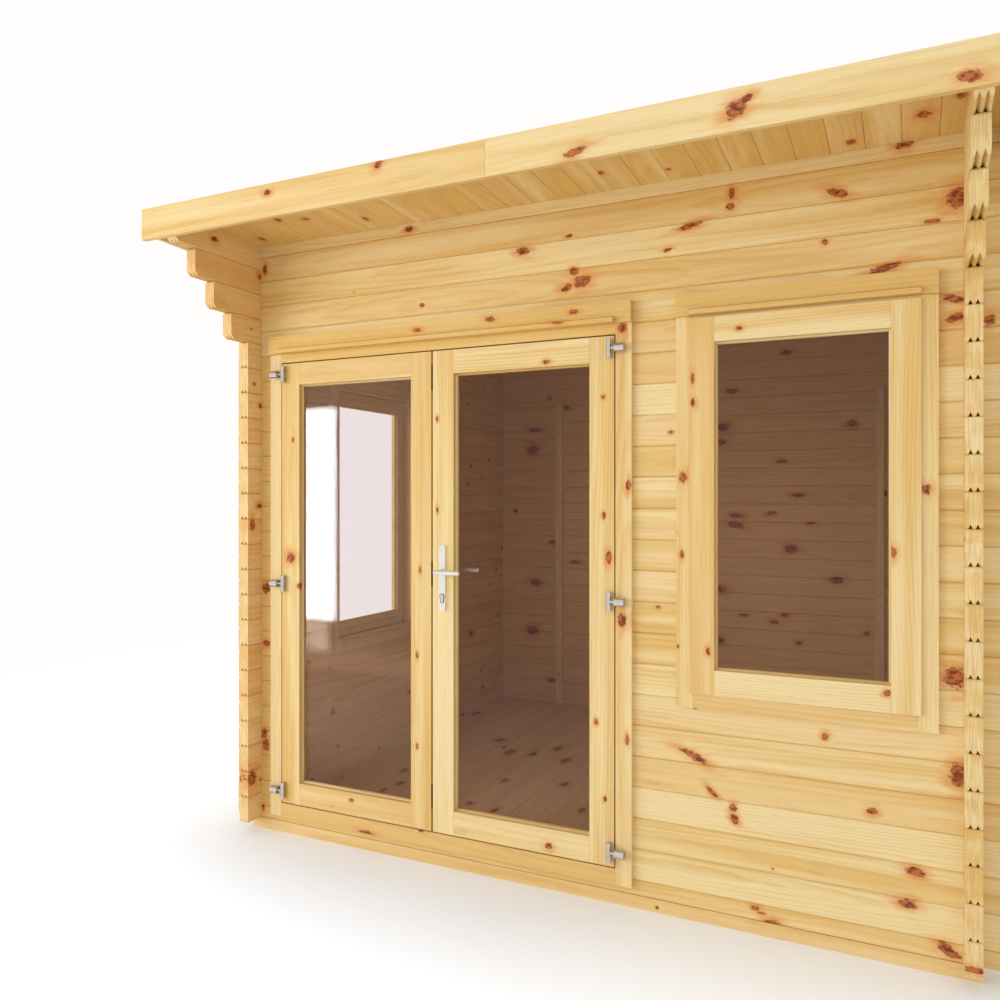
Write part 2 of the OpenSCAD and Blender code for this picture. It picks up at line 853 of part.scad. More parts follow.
module window_pane() {
    translate([-sash_w/2 + sash_rail + fit, pane_set - proud - lip_t, sash_foot_up + sash_rail + fit])
        cube([sash_w - 2*sash_rail - 2*fit, pane_t, sash_h - 2*sash_rail - 2*fit]);
}

module at_front_window() { translate([window_x, face_y, front_sill]) children(); }
module at_side_window() {
    translate([-side_out, side_window_mid, side_sill]) rotate([0, 0, -90]) children();
}

module front_window_frame() { color(pine) at_front_window() window_frame(); }
module front_window_sash() { color(pine) at_front_window() window_sash(); }
module front_window_glass() { color(pane) at_front_window() window_pane(); }
module side_window_frame() { color(pine) at_side_window() window_frame(); }
module side_window_sash() { color(pine) at_side_window() window_sash(); }
module side_window_glass() { color(pane) at_side_window() window_pane(); }

module side_window_head_trims() {
    color(pine) at_side_window() head_trims(-window_half - lap, window_half + lap, 0, window_h);
}

module side_window_drip_bar() {
    color(pine) at_side_window() drip_bar(-sash_w/2, sash_w/2, 0, window_h + fit);
}

// Storm braces: upright battens on the inside of the rear wall
module storm_braces() {
    color(pine)
        for (x = [-side_x + brace_left, side_x - brace_right])
            translate([x - brace_w/2, back_y - log_t - fit - brace_t, bearer_h + floor_t + fit])
                cube([brace_w, brace_t, brace_h]);
}

floor_bearers();
floor_deck();
front_wall_base_log();
front_wall_left_logs();
front_wall_low_logs();
front_wall_mid_logs();
front_wall_right_logs();
front_wall_top_logs();
left_wall_low_logs();
left_wall_front_logs();
left_wall_rear_logs();
left_wall_top_logs();
right_wall_logs();
right_wall_top_logs();
rear_wall_logs();
roof_purlins();
roof_deck();
roof_felt();
front_fascia();
roof_edge_boards();
door_jambs();
door_head();
door_threshold();
front_head_trims();
front_drip_bars();
door_hinge_pins();
left_door_stiles();
left_door_rails();
left_door_glass();
left_door_hinges();
lock_keeps();
right_door_stiles();
right_door_rails();
right_door_glass();
right_door_hinges();
handle_plates();
lock_cylinder();
door_lever();
front_window_frame();
front_window_sash();
front_window_glass();
side_window_frame();
side_window_head_trims();
side_window_drip_bar();
side_window_sash();
side_window_glass();
storm_braces();
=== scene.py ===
import math

import bmesh
import bpy
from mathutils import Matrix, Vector

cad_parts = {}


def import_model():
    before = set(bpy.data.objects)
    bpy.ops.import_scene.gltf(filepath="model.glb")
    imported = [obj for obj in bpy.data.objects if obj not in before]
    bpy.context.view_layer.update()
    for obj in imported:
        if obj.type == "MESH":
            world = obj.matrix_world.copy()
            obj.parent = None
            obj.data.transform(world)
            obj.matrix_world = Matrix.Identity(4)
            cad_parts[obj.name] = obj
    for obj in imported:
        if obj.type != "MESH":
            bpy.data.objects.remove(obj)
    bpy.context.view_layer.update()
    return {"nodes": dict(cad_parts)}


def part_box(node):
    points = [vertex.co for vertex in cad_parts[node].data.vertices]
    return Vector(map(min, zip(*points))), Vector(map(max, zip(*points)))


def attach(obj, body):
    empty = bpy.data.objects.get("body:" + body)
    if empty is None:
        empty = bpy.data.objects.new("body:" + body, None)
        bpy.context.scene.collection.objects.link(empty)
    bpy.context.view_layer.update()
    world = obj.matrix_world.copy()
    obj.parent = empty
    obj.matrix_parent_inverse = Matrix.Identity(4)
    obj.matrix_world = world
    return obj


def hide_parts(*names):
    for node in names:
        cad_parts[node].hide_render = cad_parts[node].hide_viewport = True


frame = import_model()
nodes = frame["nodes"]

# Sizes of the CAD model that the looks line up with, in metres
LOG_H = 0.104
LOG_T = 0.044
SIDE_FOOT = 0.044
FRONT_FOOT = 0.096
FRONT_MID = -0.9791
BACK_MID = 1.3509
SIDE_MID = 1.315
FACE_Y = FRONT_MID - LOG_T/2
MID_Y = (FRONT_MID + BACK_MID)/2
ROOF_FALL = math.tan(math.radians(2.2))
SOFFIT_FRONT = 2.426
ROOF_T = 0.016
FELT_T = 0.0025
WINDOW_X = 0.8477
SIDE_WINDOW_Y = -0.1611
SASH_HALF = 0.2567
FRAME_Y = -0.98
LEAF_Y = -1.0
FASCIA_Y = -1.473
FASCIA_Z = 2.405
EDGE_Z = 2.38
SOFFIT_Z = 2.4
DECK_Z = 0.05
FAR = 10.0

# Camera, fitted to the photo: yaw to the left of the way in, level, and a lens for a 36 mm sensor
CAMERA_AT = (1.166, -3.778, 1.3786)
CAMERA_YAW = math.radians(25.91)
CAMERA_LENS = 30.71
CAMERA_SENSOR = 36.0
CAMERA_SHIFT = -0.002


def soffit(y):
    """Height of the underside of the roof boards."""
    return SOFFIT_FRONT - (y - FACE_Y)*ROOF_FALL


def linear(red, green, blue):
    """A colour given as it looks on a screen, 0 to 255, as Blender's linear colour."""
    steps = [value/255 for value in (red, green, blue)]
    return tuple(v/12.92 if v <= 0.04045 else ((v + 0.055)/1.055)**2.4 for v in steps) + (1.0,)


class Nodes:
    """Short calls for building a node tree."""

    def __init__(self, tree):
        self.tree = tree

    def new(self, kind, **settings):
        node = self.tree.nodes.new(kind)
        for name, value in settings.items():
            setattr(node, name, value)
        return node

    def put(self, socket, value):
        if isinstance(value, bpy.types.NodeSocket):
            self.tree.links.new(value, socket)
        else:
            socket.default_value = value

    def fill(self, sockets, values):
        for socket, value in zip(sockets, values):
            self.put(socket, value)

    def math(self, operation, *values):
        node = self.new("ShaderNodeMath", operation=operation)
        self.fill(node.inputs, values)
        return node.outputs[0]

    def vector(self, operation, *values):
        node = self.new("ShaderNodeVectorMath", operation=operation)
        self.fill(node.inputs, values)
        return node.outputs["Value" if operation in ("LENGTH", "DOT_PRODUCT") else "Vector"]

    def smooth(self, value, low, high, start=0.0, end=1.0):
        """A smooth step from start at low to end at high."""
        node = self.new("ShaderNodeMapRange", interpolation_type="SMOOTHSTEP")
        self.fill(node.inputs, (value, low, high, start, end))
        return node.outputs[0]

    def mix(self, factor, first, second):
        """A colour between two."""
        node = self.new("ShaderNodeMix", data_type="RGBA")
        self.fill([node.inputs[i] for i in (0, 6, 7)], (factor, first, second))
        return node.outputs[2]

    def pick(self, factor, first, second):
        """A vector between two."""
        node = self.new("ShaderNodeMix", data_type="VECTOR")
        self.fill([node.inputs[i] for i in (0, 4, 5)], (factor, first, second))
        return node.outputs[1]

    def noise(self, vector, detail=2.0, rough=0.5):
        node = self.new("ShaderNodeTexNoise")
        self.put(node.inputs["Vector"], vector)
        node.inputs["Scale"].default_value = 1.0
        node.inputs["Detail"].default_value = detail
        node.inputs["Roughness"].default_value = rough
        return node.outputs["Fac"]

    def join(self, x, y, z):
        node = self.new("ShaderNodeCombineXYZ")
        self.fill(node.inputs, (x, y, z))
        return node.outputs[0]

    def split(self, vector):
        node = self.new("ShaderNodeSeparateXYZ")
        self.put(node.inputs[0], vector)
        return node.outputs

    def blend(self, factor, first, second):
        """A shader between two."""
        node = self.new("ShaderNodeMixShader")
        self.fill(node.inputs, (factor, first, second))
        return node.outputs[0]

    def show(self, shader):
        self.put(self.tree.nodes["Material Output"].inputs["Surface"], shader)

    def bump(self, shader, height, strength, distance):
        node = self.new("ShaderNodeBump")
        node.inputs["Strength"].default_value = strength
        node.inputs["Distance"].default_value = distance
        self.put(node.inputs["Height"], height)
        self.put(shader.inputs["Normal"], node.outputs[0])


def new_object(name, data):
    obj = bpy.data.objects.new(name, data)
    bpy.context.scene.collection.objects.link(obj)
    return obj


def new_material(name):
    material = bpy.data.materials.new(name)
    material.use_nodes = True
    build = Nodes(material.node_tree)
    return material, build, material.node_tree.nodes["Principled BSDF"]


# Pine: growth rings round a pith beside the piece, fibre, slow changes of tone and knots
PALE = linear(240, 222, 171)
GOLD = linear(225, 191, 118)
ROSE = linear(229, 193, 138)
BLUSH = linear(241, 192, 140)
LATE = linear(206, 162, 90)
FIBRE = linear(196, 150, 84)
HALO = linear(222, 156, 88)
KNOT = linear(184, 98, 52)
KNOT_DARK = linear(116, 44, 22)
RIM = linear(92, 34, 18)
RING_STEP = 0.0105
RING_DRIFT = 0.07
RING_WANDER = 0.006
RING_BEND = 0.012
PITH_UP = 0.12
PITH_IN = 0.04
PITH_DEEP = 0.10
SHIFT_ALONG = 40.0
SHIFT_ACROSS = 3.0
TURNED_SEED = 31.0
SAPWOOD_TONE = -0.8
MID_TONE = 0.56
NO_KNOT = 60.0
PINE_SPECULAR = 0.3
PINE_BUMP = (0.25, 0.0012)

# Noises of the wood: how many there are to a metre along the grain, across it and into the piece
DRIFT = (0.8, 4.0, 4.0)
WANDER = (11.0, 48.0, 48.0)
RAGGED = (60.0, 95.0, 60.0)
MARK = (46.0, 85.0, 46.0)
SAWN = (12.0, 14.0, 260.0)
BANDS = (0.7, 15.0, 15.0)
STRANDS = (6.0, 240.0, 240.0)


def stray_knots(b, given, along, across):
    """How far a point is from the nearest stray knot, in knot radii. Each stretch of a piece, Gap long, has
    one such knot or none."""
    cell = b.math("DIVIDE", along, given["Gap"])
    voronoi = b.new("ShaderNodeTexVoronoi", voronoi_dimensions="1D")
    voronoi.inputs["Scale"].default_value = 1.0
    voronoi.inputs["Randomness"].default_value = 0.9
    b.put(voronoi.inputs["W"], cell)
    knot = b.split(voronoi.outputs["Color"])
    off = b.math("MULTIPLY", b.math("SUBTRACT", cell, voronoi.outputs["W"]), given["Gap"])
    level = b.math("MULTIPLY", b.math("SUBTRACT", knot[0], 0.5), given["Spread"])
    radius = b.math("MULTIPLY", given["Size"],
                    b.math("MULTIPLY_ADD", b.math("POWER", knot[1], 2.0), 1.0, 0.35))
    stretch = b.math("MULTIPLY_ADD", b.math("POWER", knot[2], 4.0), 1.6, 1.0)
    u = b.math("DIVIDE", off, b.math("MULTIPLY", radius, stretch))
    v = b.math("DIVIDE", b.math("SUBTRACT", across, level), radius)
    absent = b.math("GREATER_THAN", b.math("FRACT", b.math("MULTIPLY", knot[0], 13.7)), given["Share"])
    return b.math("MULTIPLY_ADD", absent, NO_KNOT, b.vector("LENGTH", b.join(u, v, 0.0)))


def late_wood(b, chance, across, deep, drift, wander, far):
    """The dark part of the growth rings, which run round a pith beside the piece and bend round its knots."""
    pith_up = b.math("MULTIPLY_ADD", chance[1], PITH_UP, -PITH_UP/2)
    pith_in = b.math("MULTIPLY_ADD", chance[2], PITH_DEEP, PITH_IN)
    ring_r = b.vector("LENGTH", b.join(b.math("SUBTRACT", across, pith_up),
                                       b.math("ADD", deep, pith_in), 0.0))
    ring_r = b.math("MULTIPLY_ADD", b.math("SUBTRACT", drift, 0.5), RING_DRIFT, ring_r)
    ring_r = b.math("MULTIPLY_ADD", b.math("SUBTRACT", wander, 0.5), RING_WANDER, ring_r)
    bend = b.math("POWER", math.e, b.math("MULTIPLY", b.math("POWER", far, 2.0), -0.35))
    ring_r = b.math("MULTIPLY_ADD", bend, RING_BEND, ring_r)
    ring = b.math("FRACT", b.math("DIVIDE", ring_r, RING_STEP))
    return b.math("MULTIPLY", b.smooth(ring, 0.30, 0.88), b.smooth(ring, 0.92, 1.0, 1.0, 0.0))


def pine_group():
    """Colour, roughness and height of pine, for a Place in its piece and the Chance of that piece."""
    tree = bpy.data.node_groups.new("pine_grain", "ShaderNodeTree")
    face = tree.interface
    for name, kind in (("Place", "NodeSocketVector"), ("Chance", "NodeSocketVector"),
                       ("Placed", "NodeSocketFloat"), ("Gap", "NodeSocketFloat"),
                       ("Size", "NodeSocketFloat"), ("Share", "NodeSocketFloat"),
                       ("Spread", "NodeSocketFloat"), ("Tone", "NodeSocketFloat"),
                       ("Half", "NodeSocketFloat"), ("End", "NodeSocketFloat"), ("Calm", "NodeSocketFloat")):
        face.new_socket(name, in_out="INPUT", socket_type=kind)
    for name, kind in (("Color", "NodeSocketColor"), ("Roughness", "NodeSocketFloat"),
                       ("Height", "NodeSocketFloat")):
        face.new_socket(name, in_out="OUTPUT", socket_type=kind)
    b = Nodes(tree)
    given = b.new("NodeGroupInput").outputs
    chance = b.split(given["Chance"])
    place = b.split(given["Place"])
    across, deep = place[1], place[2]
    along = b.math("MULTIPLY_ADD", chance[0], SHIFT_ALONG, place[0])
    shifted = b.join(along, b.math("MULTIPLY_ADD", chance[1], SHIFT_ACROSS, across),
                     b.math("MULTIPLY_ADD", chance[2], SHIFT_ACROSS, deep))
    drift = b.noise(b.vector("MULTIPLY", shifted, DRIFT), 0.0)
    wander = b.noise(b.vector("MULTIPLY", shifted, WANDER), 1.0)
    wander_too = b.noise(b.vector("MULTIPLY", shifted, RAGGED), 2.0, 0.65)
    mark = b.noise(b.vector("MULTIPLY", shifted, MARK), 1.0, 0.7)
    streak = b.noise(b.vector("MULTIPLY", shifted, SAWN), 0.0)
    bands = b.noise(b.vector("MULTIPLY", shifted, BANDS), 2.0, 0.55)
    fibre = b.noise(b.vector("MULTIPLY", shifted, STRANDS), 1.0, 0.6)

    far = b.math("MINIMUM", stray_knots(b, given, along, across), given["Placed"])
    ragged = b.math("MULTIPLY_ADD", b.math("SUBTRACT", wander_too, 0.5), 1.5, far)
    ragged = b.math("MAXIMUM", ragged, 0.0)
    smear = b.math("MULTIPLY_ADD", b.math("SUBTRACT", wander, 0.5), 2.4, b.math("MULTIPLY", far, 0.8))

    late = late_wood(b, chance, across, deep, drift, wander, far)
    late = b.math("MULTIPLY", late, b.smooth(bands, 0.30, 0.75, 0.25, 1.0))

    tone = b.math("ADD", b.math("MULTIPLY_ADD", chance[2], 0.30, -0.15),
                  b.math("ADD", bands, given["Tone"]))
    # Painted shade: near a log's top and bottom edges the tone rises towards gold, for the shade at the
    # joints between logs.
    edge = b.smooth(b.math("DIVIDE", b.math("ABSOLUTE", across), given["Half"]), 0.80, 1.0, 0.0, 0.10)
    tone = b.math("MULTIPLY_ADD", b.math("SUBTRACT", MID_TONE, tone), given["Calm"], tone)
    tone = b.math("ADD", tone, edge)
    color = b.mix(b.smooth(tone, 0.34, 0.78), PALE, GOLD)
    color = b.mix(b.smooth(chance[0], 0.45, 1.0, 0.0, 0.40), color, ROSE)
    color = b.mix(b.math("MULTIPLY", given["Calm"], 0.7), color, BLUSH)
    grain = b.mix(b.math("MULTIPLY", late, 0.40), color, LATE)
    grain = b.mix(b.smooth(fibre, 0.52, 0.85, 0.0, 0.34), grain, FIBRE)
    sawn = b.mix(b.smooth(streak, 0.35, 0.75, 0.0, 0.55), color, LATE)
    color = b.mix(b.smooth(given["End"], 0.6, 0.9, 0.0, 0.85), grain, sawn)
    halo = b.math("POWER", b.smooth(smear, 0.4, 2.5, 1.0, 0.0), 1.6)
    color = b.mix(b.math("MULTIPLY", halo, 0.85), color, HALO)
    core = b.smooth(ragged, 0.60, 1.10, 1.0, 0.0)
    color = b.mix(b.math("MULTIPLY", core, 0.85), color, KNOT)
    dark = b.math("MULTIPLY", core, b.smooth(mark, 0.40, 0.62))
    color = b.mix(b.math("MULTIPLY", dark, 0.88), color, KNOT_DARK)
    rim = b.math("MULTIPLY", b.smooth(ragged, 0.55, 0.80), b.smooth(ragged, 0.85, 1.12, 1.0, 0.0))
    rim = b.math("MULTIPLY", rim, b.smooth(mark, 0.36, 0.52, 1.0, 0.15))
    color = b.mix(b.math("MULTIPLY", rim, 0.65), color, RIM)

    rough = b.math("MULTIPLY_ADD", fibre, 0.18, 0.46)
    rough = b.math("MULTIPLY_ADD", core, -0.10, rough)
    out = b.new("NodeGroupOutput")
    b.put(out.inputs["Color"], color)
    b.put(out.inputs["Roughness"], rough)
    b.put(out.inputs["Height"], fibre)
    return tree


PINE = pine_group()
WHOLE = (-FAR/2, FAR)


def about(middle):
    """A cell so wide that all of a piece lies in it, centred on middle."""
    return (middle - FAR/2, FAR)


def pine(name, axes, cells, seed, turned=None, knots=(), gap=0.55, size=0.014, share=0.5, spread=0.07,
         tone=0.0, lean=0.0, width=2*FAR, calm=0.0, sapwood=None):
    """A pine material. axes are the grain, the width and the depth as 0, 1, 2 for X, Y, Z; cells are
    (origin, step) along each of them, and every cell is a piece of its own. turned = (axis, middle,
    half, axes) gives other axes past half from middle, and lean is more tone below middle. calm evens the
    tone out, and sapwood = (low, high) is a pale band across the width. knots are placed ones:
    (along, across, half length, half width, turn in degrees)."""
    material, b, shader = new_material(name)
    point = b.split(b.new("ShaderNodeTexCoord").outputs["Object"])
    place = b.join(*[point[i] for i in axes])
    if turned:
        axis, middle, half, other = turned
        past = b.math("GREATER_THAN", b.math("ABSOLUTE", b.math("SUBTRACT", point[axis], middle)), half)
        place = b.pick(past, place, b.join(*[point[i] for i in other]))
    facing = b.split(b.new("ShaderNodeTexCoord").outputs["Normal"])
    end = b.math("ABSOLUTE", facing[axes[0]])
    if turned:
        end_past = b.math("ABSOLUTE", facing[turned[3][0]])
        end = b.math("MULTIPLY_ADD", past, b.math("SUBTRACT", end_past, end), end)
        below = b.math("MULTIPLY", past, b.math("LESS_THAN", point[axis], middle))
        tone = b.math("MULTIPLY_ADD", below, lean, tone)
    if sapwood:
        off = b.math("ABSOLUTE", b.math("SUBTRACT", point[axes[1]], sum(sapwood)/2))
        pale = b.math("LESS_THAN", off, (sapwood[1] - sapwood[0])/2)
        tone = b.math("MULTIPLY_ADD", pale, SAPWOOD_TONE, tone)
    origin = tuple(cell[0] for cell in cells)
    step = tuple(cell[1] for cell in cells)
    start = b.vector("SUBTRACT", place, origin)
    index = b.vector("FLOOR", b.vector("DIVIDE", start, step))
    middle_of = b.vector("MULTIPLY", b.vector("ADD", index, (0.5, 0.5, 0.5)), step)
    local = b.vector("SUBTRACT", start, middle_of)
    chance = b.new("ShaderNodeTexWhiteNoise", noise_dimensions="4D")
    b.put(chance.inputs["Vector"], index)
    b.put(chance.inputs["W"], b.math("MULTIPLY_ADD", past, TURNED_SEED, seed) if turned else seed)
    placed = NO_KNOT
    for along, across, half_length, half_width, turn in knots:
        off = b.vector("SUBTRACT", place, (along, across, 0.0))
        if turn:
            c, s = math.cos(math.radians(turn)), math.sin(math.radians(turn))
            off = b.join(b.vector("DOT_PRODUCT", off, (c/half_length, s/half_length, 0.0)),
                         b.vector("DOT_PRODUCT", off, (-s/half_width, c/half_width, 0.0)), 0.0)
        else:
            off = b.vector("MULTIPLY", off, (1/half_length, 1/half_width, 0.0))
        placed = b.math("MINIMUM", b.vector("LENGTH", off), placed)
    group = b.new("ShaderNodeGroup", node_tree=PINE)
    for socket, value in (("Place", local), ("Chance", chance.outputs["Color"]), ("Placed", placed),
                          ("Gap", gap), ("Size", size), ("Share", share), ("Spread", spread),
                          ("Tone", tone), ("Half", width/2), ("End", end), ("Calm", calm)):
        b.put(group.inputs[socket], value)
    b.put(shader.inputs["Base Color"], group.outputs["Color"])
    b.put(shader.inputs["Roughness"], group.outputs["Roughness"])
    shader.inputs["Specular IOR Level"].default_value = PINE_SPECULAR
    b.bump(shader, group.outputs["Height"], *PINE_BUMP)
    return material


def dress(material, *names):
    """Gives CAD nodes a material."""
    for name in names:
        slots = nodes[name].data.materials
        slots.clear()
        slots.append(material)


ALONG_X = (0, 2, 1)
ALONG_Y = (1, 2, 0)
UPRIGHT_X = (2, 0, 1)
UPRIGHT_Y = (2, 1, 0)
ROOF_Y = (1, 0, 2)

# Knots that the photo shows: (along, across, half length, half width, turn in degrees)
WALL_KNOTS = [
    (-0.569, 2.405, 0.020, 0.012, 0), (-0.092, 2.261, 0.024, 0.015, -10), (0.103, 2.166, 0.016, 0.016, 0),
    (0.075, 2.111, 0.024, 0.012, 20), (0.132, 2.128, 0.030, 0.022, 15), (0.507, 2.267, 0.040, 0.010, 12),
    (0.431, 2.198, 0.016, 0.006, 10), (0.641, 2.352, 0.011, 0.020, 0), (0.637, 2.312, 0.014, 0.012, 0),
    (0.957, 2.304, 0.032, 0.014, -20), (0.920, 2.160, 0.009, 0.009, 0), (1.087, 2.061, 0.045, 0.012, 14),
    (1.141, 2.423, 0.024, 0.015, 8), (1.276, 2.240, 0.026, 0.030, 0), (0.520, 0.538, 0.050, 0.012, -24),
    (0.578, 0.429, 0.024, 0.008, -40), (0.645, 0.388, 0.012, 0.014, 0), (0.650, 0.355, 0.012, 0.018, 20),
    (0.920, 0.649, 0.010, 0.012, 0), (1.052, 0.444, 0.014, 0.012, 0), (1.168, 0.284, 0.026, 0.014, -4),
    (1.149, 0.186, 0.026, 0.014, -6), (0.713, 0.083, 0.014, 0.008, 0), (1.253, 0.075, 0.034, 0.016, -35),
    (1.271, 0.865, 0.028, 0.030, 0), (1.282, 0.584, 0.024, 0.034, 0), (-1.275, 2.331, 0.012, 0.020, 0),
    (-1.285, 0.086, 0.010, 0.012, 0),
    (1.271, 1.951, 0.030, 0.011, -12), (1.273, 1.896, 0.030, 0.013, 12), (1.358, 1.882, 0.014, 0.016, 0),
    (0.444, 1.596, 0.008, 0.006, 0), (0.400, 1.017, 0.008, 0.006, 0), (-0.511, 2.109, 0.012, 0.008, 0),
    (-0.533, 2.021, 0.010, 0.007, 0), (-0.223, 2.026, 0.016, 0.008, 0), (0.084, 2.291, 0.014, 0.006, 0),
    (1.214, 2.183, 0.024, 0.006, 0), (0.759, 0.040, 0.026, 0.016, 10)]
CORNER_KNOTS = [
    (-1.280, 0.394, 0.018, 0.024, 0), (-1.270, 0.350, 0.018, 0.028, 0), (-1.268, 1.003, 0.022, 0.022, 0),
    (-1.266, 0.773, 0.020, 0.013, 0)]
REAR_KNOTS = [
    (0.507, 2.212, 0.030, 0.014, 0), (0.200, 2.008, 0.036, 0.014, 0), (0.147, 1.796, 0.040, 0.024, 0),
    (0.132, 1.710, 0.036, 0.020, 0), (0.482, 1.589, 0.034, 0.010, 0), (0.856, 1.791, 0.028, 0.018, 0),
    (0.570, 1.396, 0.040, 0.013, 0), (0.428, 1.292, 0.030, 0.012, 8), (0.224, 1.220, 0.050, 0.018, -8),
    (0.226, 1.276, 0.040, 0.014, 0), (0.640, 1.237, 0.020, 0.008, 0), (0.532, 1.087, 0.036, 0.026, 0),
    (0.777, 0.921, 0.034, 0.020, 0), (0.132, 0.840, 0.040, 0.020, 0), (0.120, 0.538, 0.040, 0.024, 0),
    (0.439, 0.665, 0.026, 0.012, 0), (0.499, 0.709, 0.026, 0.010, 0), (0.576, 0.554, 0.020, 0.012, 0),
    (-1.075, 1.692, 0.042, 0.034, 0), (-1.061, 1.822, 0.044, 0.016, 0), (-1.054, 0.831, 0.036, 0.024, 0),
    (-1.075, 0.516, 0.044, 0.030, 0), (-0.783, 0.970, 0.034, 0.012, 0), (-0.934, 1.094, 0.026, 0.014, 0),
    (-0.844, 1.956, 0.030, 0.014, 0), (-0.941, 0.202, 0.030, 0.014, 0)]
LEFT_WALL_KNOTS = [
    (-1.059, 0.223, 0.024, 0.034, 0), (-1.055, 1.268, 0.014, 0.024, 0), (-1.270, 2.389, 0.020, 0.012, 0),
    (-1.015, 1.347, 0.016, 0.010, 0), (0.300, 1.060, 0.030, 0.014, 0), (0.620, 0.420, 0.040, 0.016, 0)]
FLOOR_KNOTS = [
    (0.394, -0.861, 0.034, 0.020, 0), (0.219, -0.718, 0.050, 0.022, 0), (0.240, -0.597, 0.034, 0.016, 0),
    (0.393, -0.521, 0.040, 0.020, 0), (0.220, -0.408, 0.046, 0.022, 0), (-0.188, -0.552, 0.024, 0.014, 0),
    (-0.118, -0.280, 0.028, 0.016, 0), (-0.525, -0.558, 0.022, 0.012, 0), (-0.552, -0.425, 0.024, 0.014, 0),
    (-0.391, -0.095, 0.024, 0.014, 0), (-0.269, -1.055, 0.030, 0.016, 0), (-0.549, -0.984, 0.024, 0.012, 0),
    (0.856, -1.242, 0.036, 0.016, 0)]
FASCIA_KNOTS = [
    (-0.842, 2.433, 0.016, 0.010, 0), (-0.385, 2.450, 0.018, 0.012, 20), (0.290, 2.372, 0.036, 0.012, 10),
    (0.743, 2.404, 0.030, 0.024, 30), (0.768, 2.426, 0.020, 0.012, 30), (1.284, 2.376, 0.028, 0.016, -10)]
SOFFIT_KNOTS = [
    (-1.087, -1.215, 0.020, 0.012, 0), (-1.231, -1.009, 0.018, 0.014, 0), (-1.199, -0.907, 0.016, 0.014, 0),
    (-1.107, -0.693, 0.020, 0.010, 0), (-1.164, 1.190, 0.022, 0.020, 0), (-1.063, 0.998, 0.018, 0.014, 0),
    (-1.149, 0.253, 0.014, 0.010, 0), (-1.237, 1.278, 0.018, 0.012, 0)]
SILL_KNOTS = [(-0.745, 0.068, 0.040, 0.015, -6), (-0.505, 0.125, 0.014, 0.006, 0)]
HEAD_KNOTS = [
    (-0.512, 2.010, 0.018, 0.008, 0), (-0.208, 2.023, 0.020, 0.010, -8), (0.112, 2.018, 0.018, 0.008, 0),
    (0.055, 1.984, 0.024, 0.007, -6)]
STILE_KNOTS = [
    (1.134, -1.123, 0.022, 0.020, 0), (1.020, -1.084, 0.012, 0.008, 0), (1.615, -1.112, 0.010, 0.006, 0),
    (1.107, -0.509, 0.012, 0.006, 0), (0.785, -0.522, 0.014, 0.006, 0), (0.443, -0.522, 0.012, 0.006, 0)]
RIGHT_STILE_KNOTS = [
    (1.179, 0.236, 0.024, 0.011, 0), (1.318, 0.218, 0.012, 0.007, 0), (1.722, 0.215, 0.007, 0.007, 0),
    (0.615, 0.190, 0.010, 0.007, 0), (0.357, 0.222, 0.010, 0.006, 0), (1.674, -0.435, 0.010, 0.005, 0),
    (1.335, -0.435, 0.012, 0.005, 0)]
RAIL_KNOTS = [
    (-0.825, 0.192, 0.010, 0.008, 0), (0.016, 0.161, 0.015, 0.011, 0), (0.005, 1.855, 0.014, 0.008, 0)]
JAMB_KNOTS = [
    (1.950, 0.282, 0.018, 0.016, 0), (0.968, 0.282, 0.026, 0.016, 0), (1.422, 0.303, 0.020, 0.009, 0),
    (0.568, 0.300, 0.016, 0.006, 0)]
SASH_KNOTS = [
    (1.687, 0.524, 0.016, 0.009, 0), (1.766, 0.522, 0.018, 0.006, 0), (0.886, 0.572, 0.014, 0.007, 0),
    (1.221, 1.108, 0.018, 0.011, 0), (0.669, 1.914, 0.010, 0.007, 0), (1.094, 0.807, 0.010, 0.010, 0)]
FRAME_KNOTS = [
    (1.447, 0.488, 0.020, 0.013, 0), (1.195, 0.484, 0.014, 0.007, 0), (1.404, 1.197, 0.016, 0.013, 0),
    (0.895, 0.472, 0.006, 0.004, 0), (1.267, 0.465, 0.006, 0.004, 0)]

NEAR = 0.08
SAPWOOD = (1.405, 1.448)

# Cells of the wood, as (origin, step), so that each log, board, stile or rail has a grain of its own
FRONT_COURSES = (FRONT_FOOT, LOG_H)
SIDE_COURSES = (SIDE_FOOT, LOG_H)
PURLINS = (-0.6, 0.8)
FASCIA_BOARDS = (-3.0, 3.0)
BEARERS = (-1.64, 0.657)
JAMBS = (-1.9449, 1.4875)
DOOR_OR_WINDOW = (0.39 - FAR, FAR)
SILL_OR_HEAD = (0.0, 0.5)
HEAD_DEPTHS = (-1.5, 0.519)
LEFT_STILES = (-1.4336, 0.619)
RIGHT_STILES = (-0.7191, 0.619)
LEFT_OR_RIGHT = (-0.4574 - FAR, FAR)
LEAF_RAILS = (-0.6775, 1.707)
FRAME_RAILS = (0.0, 1.3)
SASH_RAILS = (0.0, 0.9)
BRACES = (0.0, 0.9)

# Frames of one node: (axis, middle, half, axes of the pieces past half from the middle)
EDGE_TURN = (0, 0.0, 1.430, ALONG_Y)
BEARER_TURN = (1, MID_Y, 1.142, ALONG_X)
FRAME_TURN = (0, WINDOW_X, 0.325, UPRIGHT_X)
SASH_TURN = (0, WINDOW_X, SASH_HALF, UPRIGHT_X)
SIDE_TURN = (1, SIDE_WINDOW_Y, SASH_HALF, UPRIGHT_Y)


def knots_near(knots, name):
    """The knots of a front wall that lie on the node or close beside it."""
    low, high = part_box(name)
    return [k for k in knots if low.x - NEAR < k[0] < high.x + NEAR and low.z - NEAR < k[1] < high.z + NEAR]


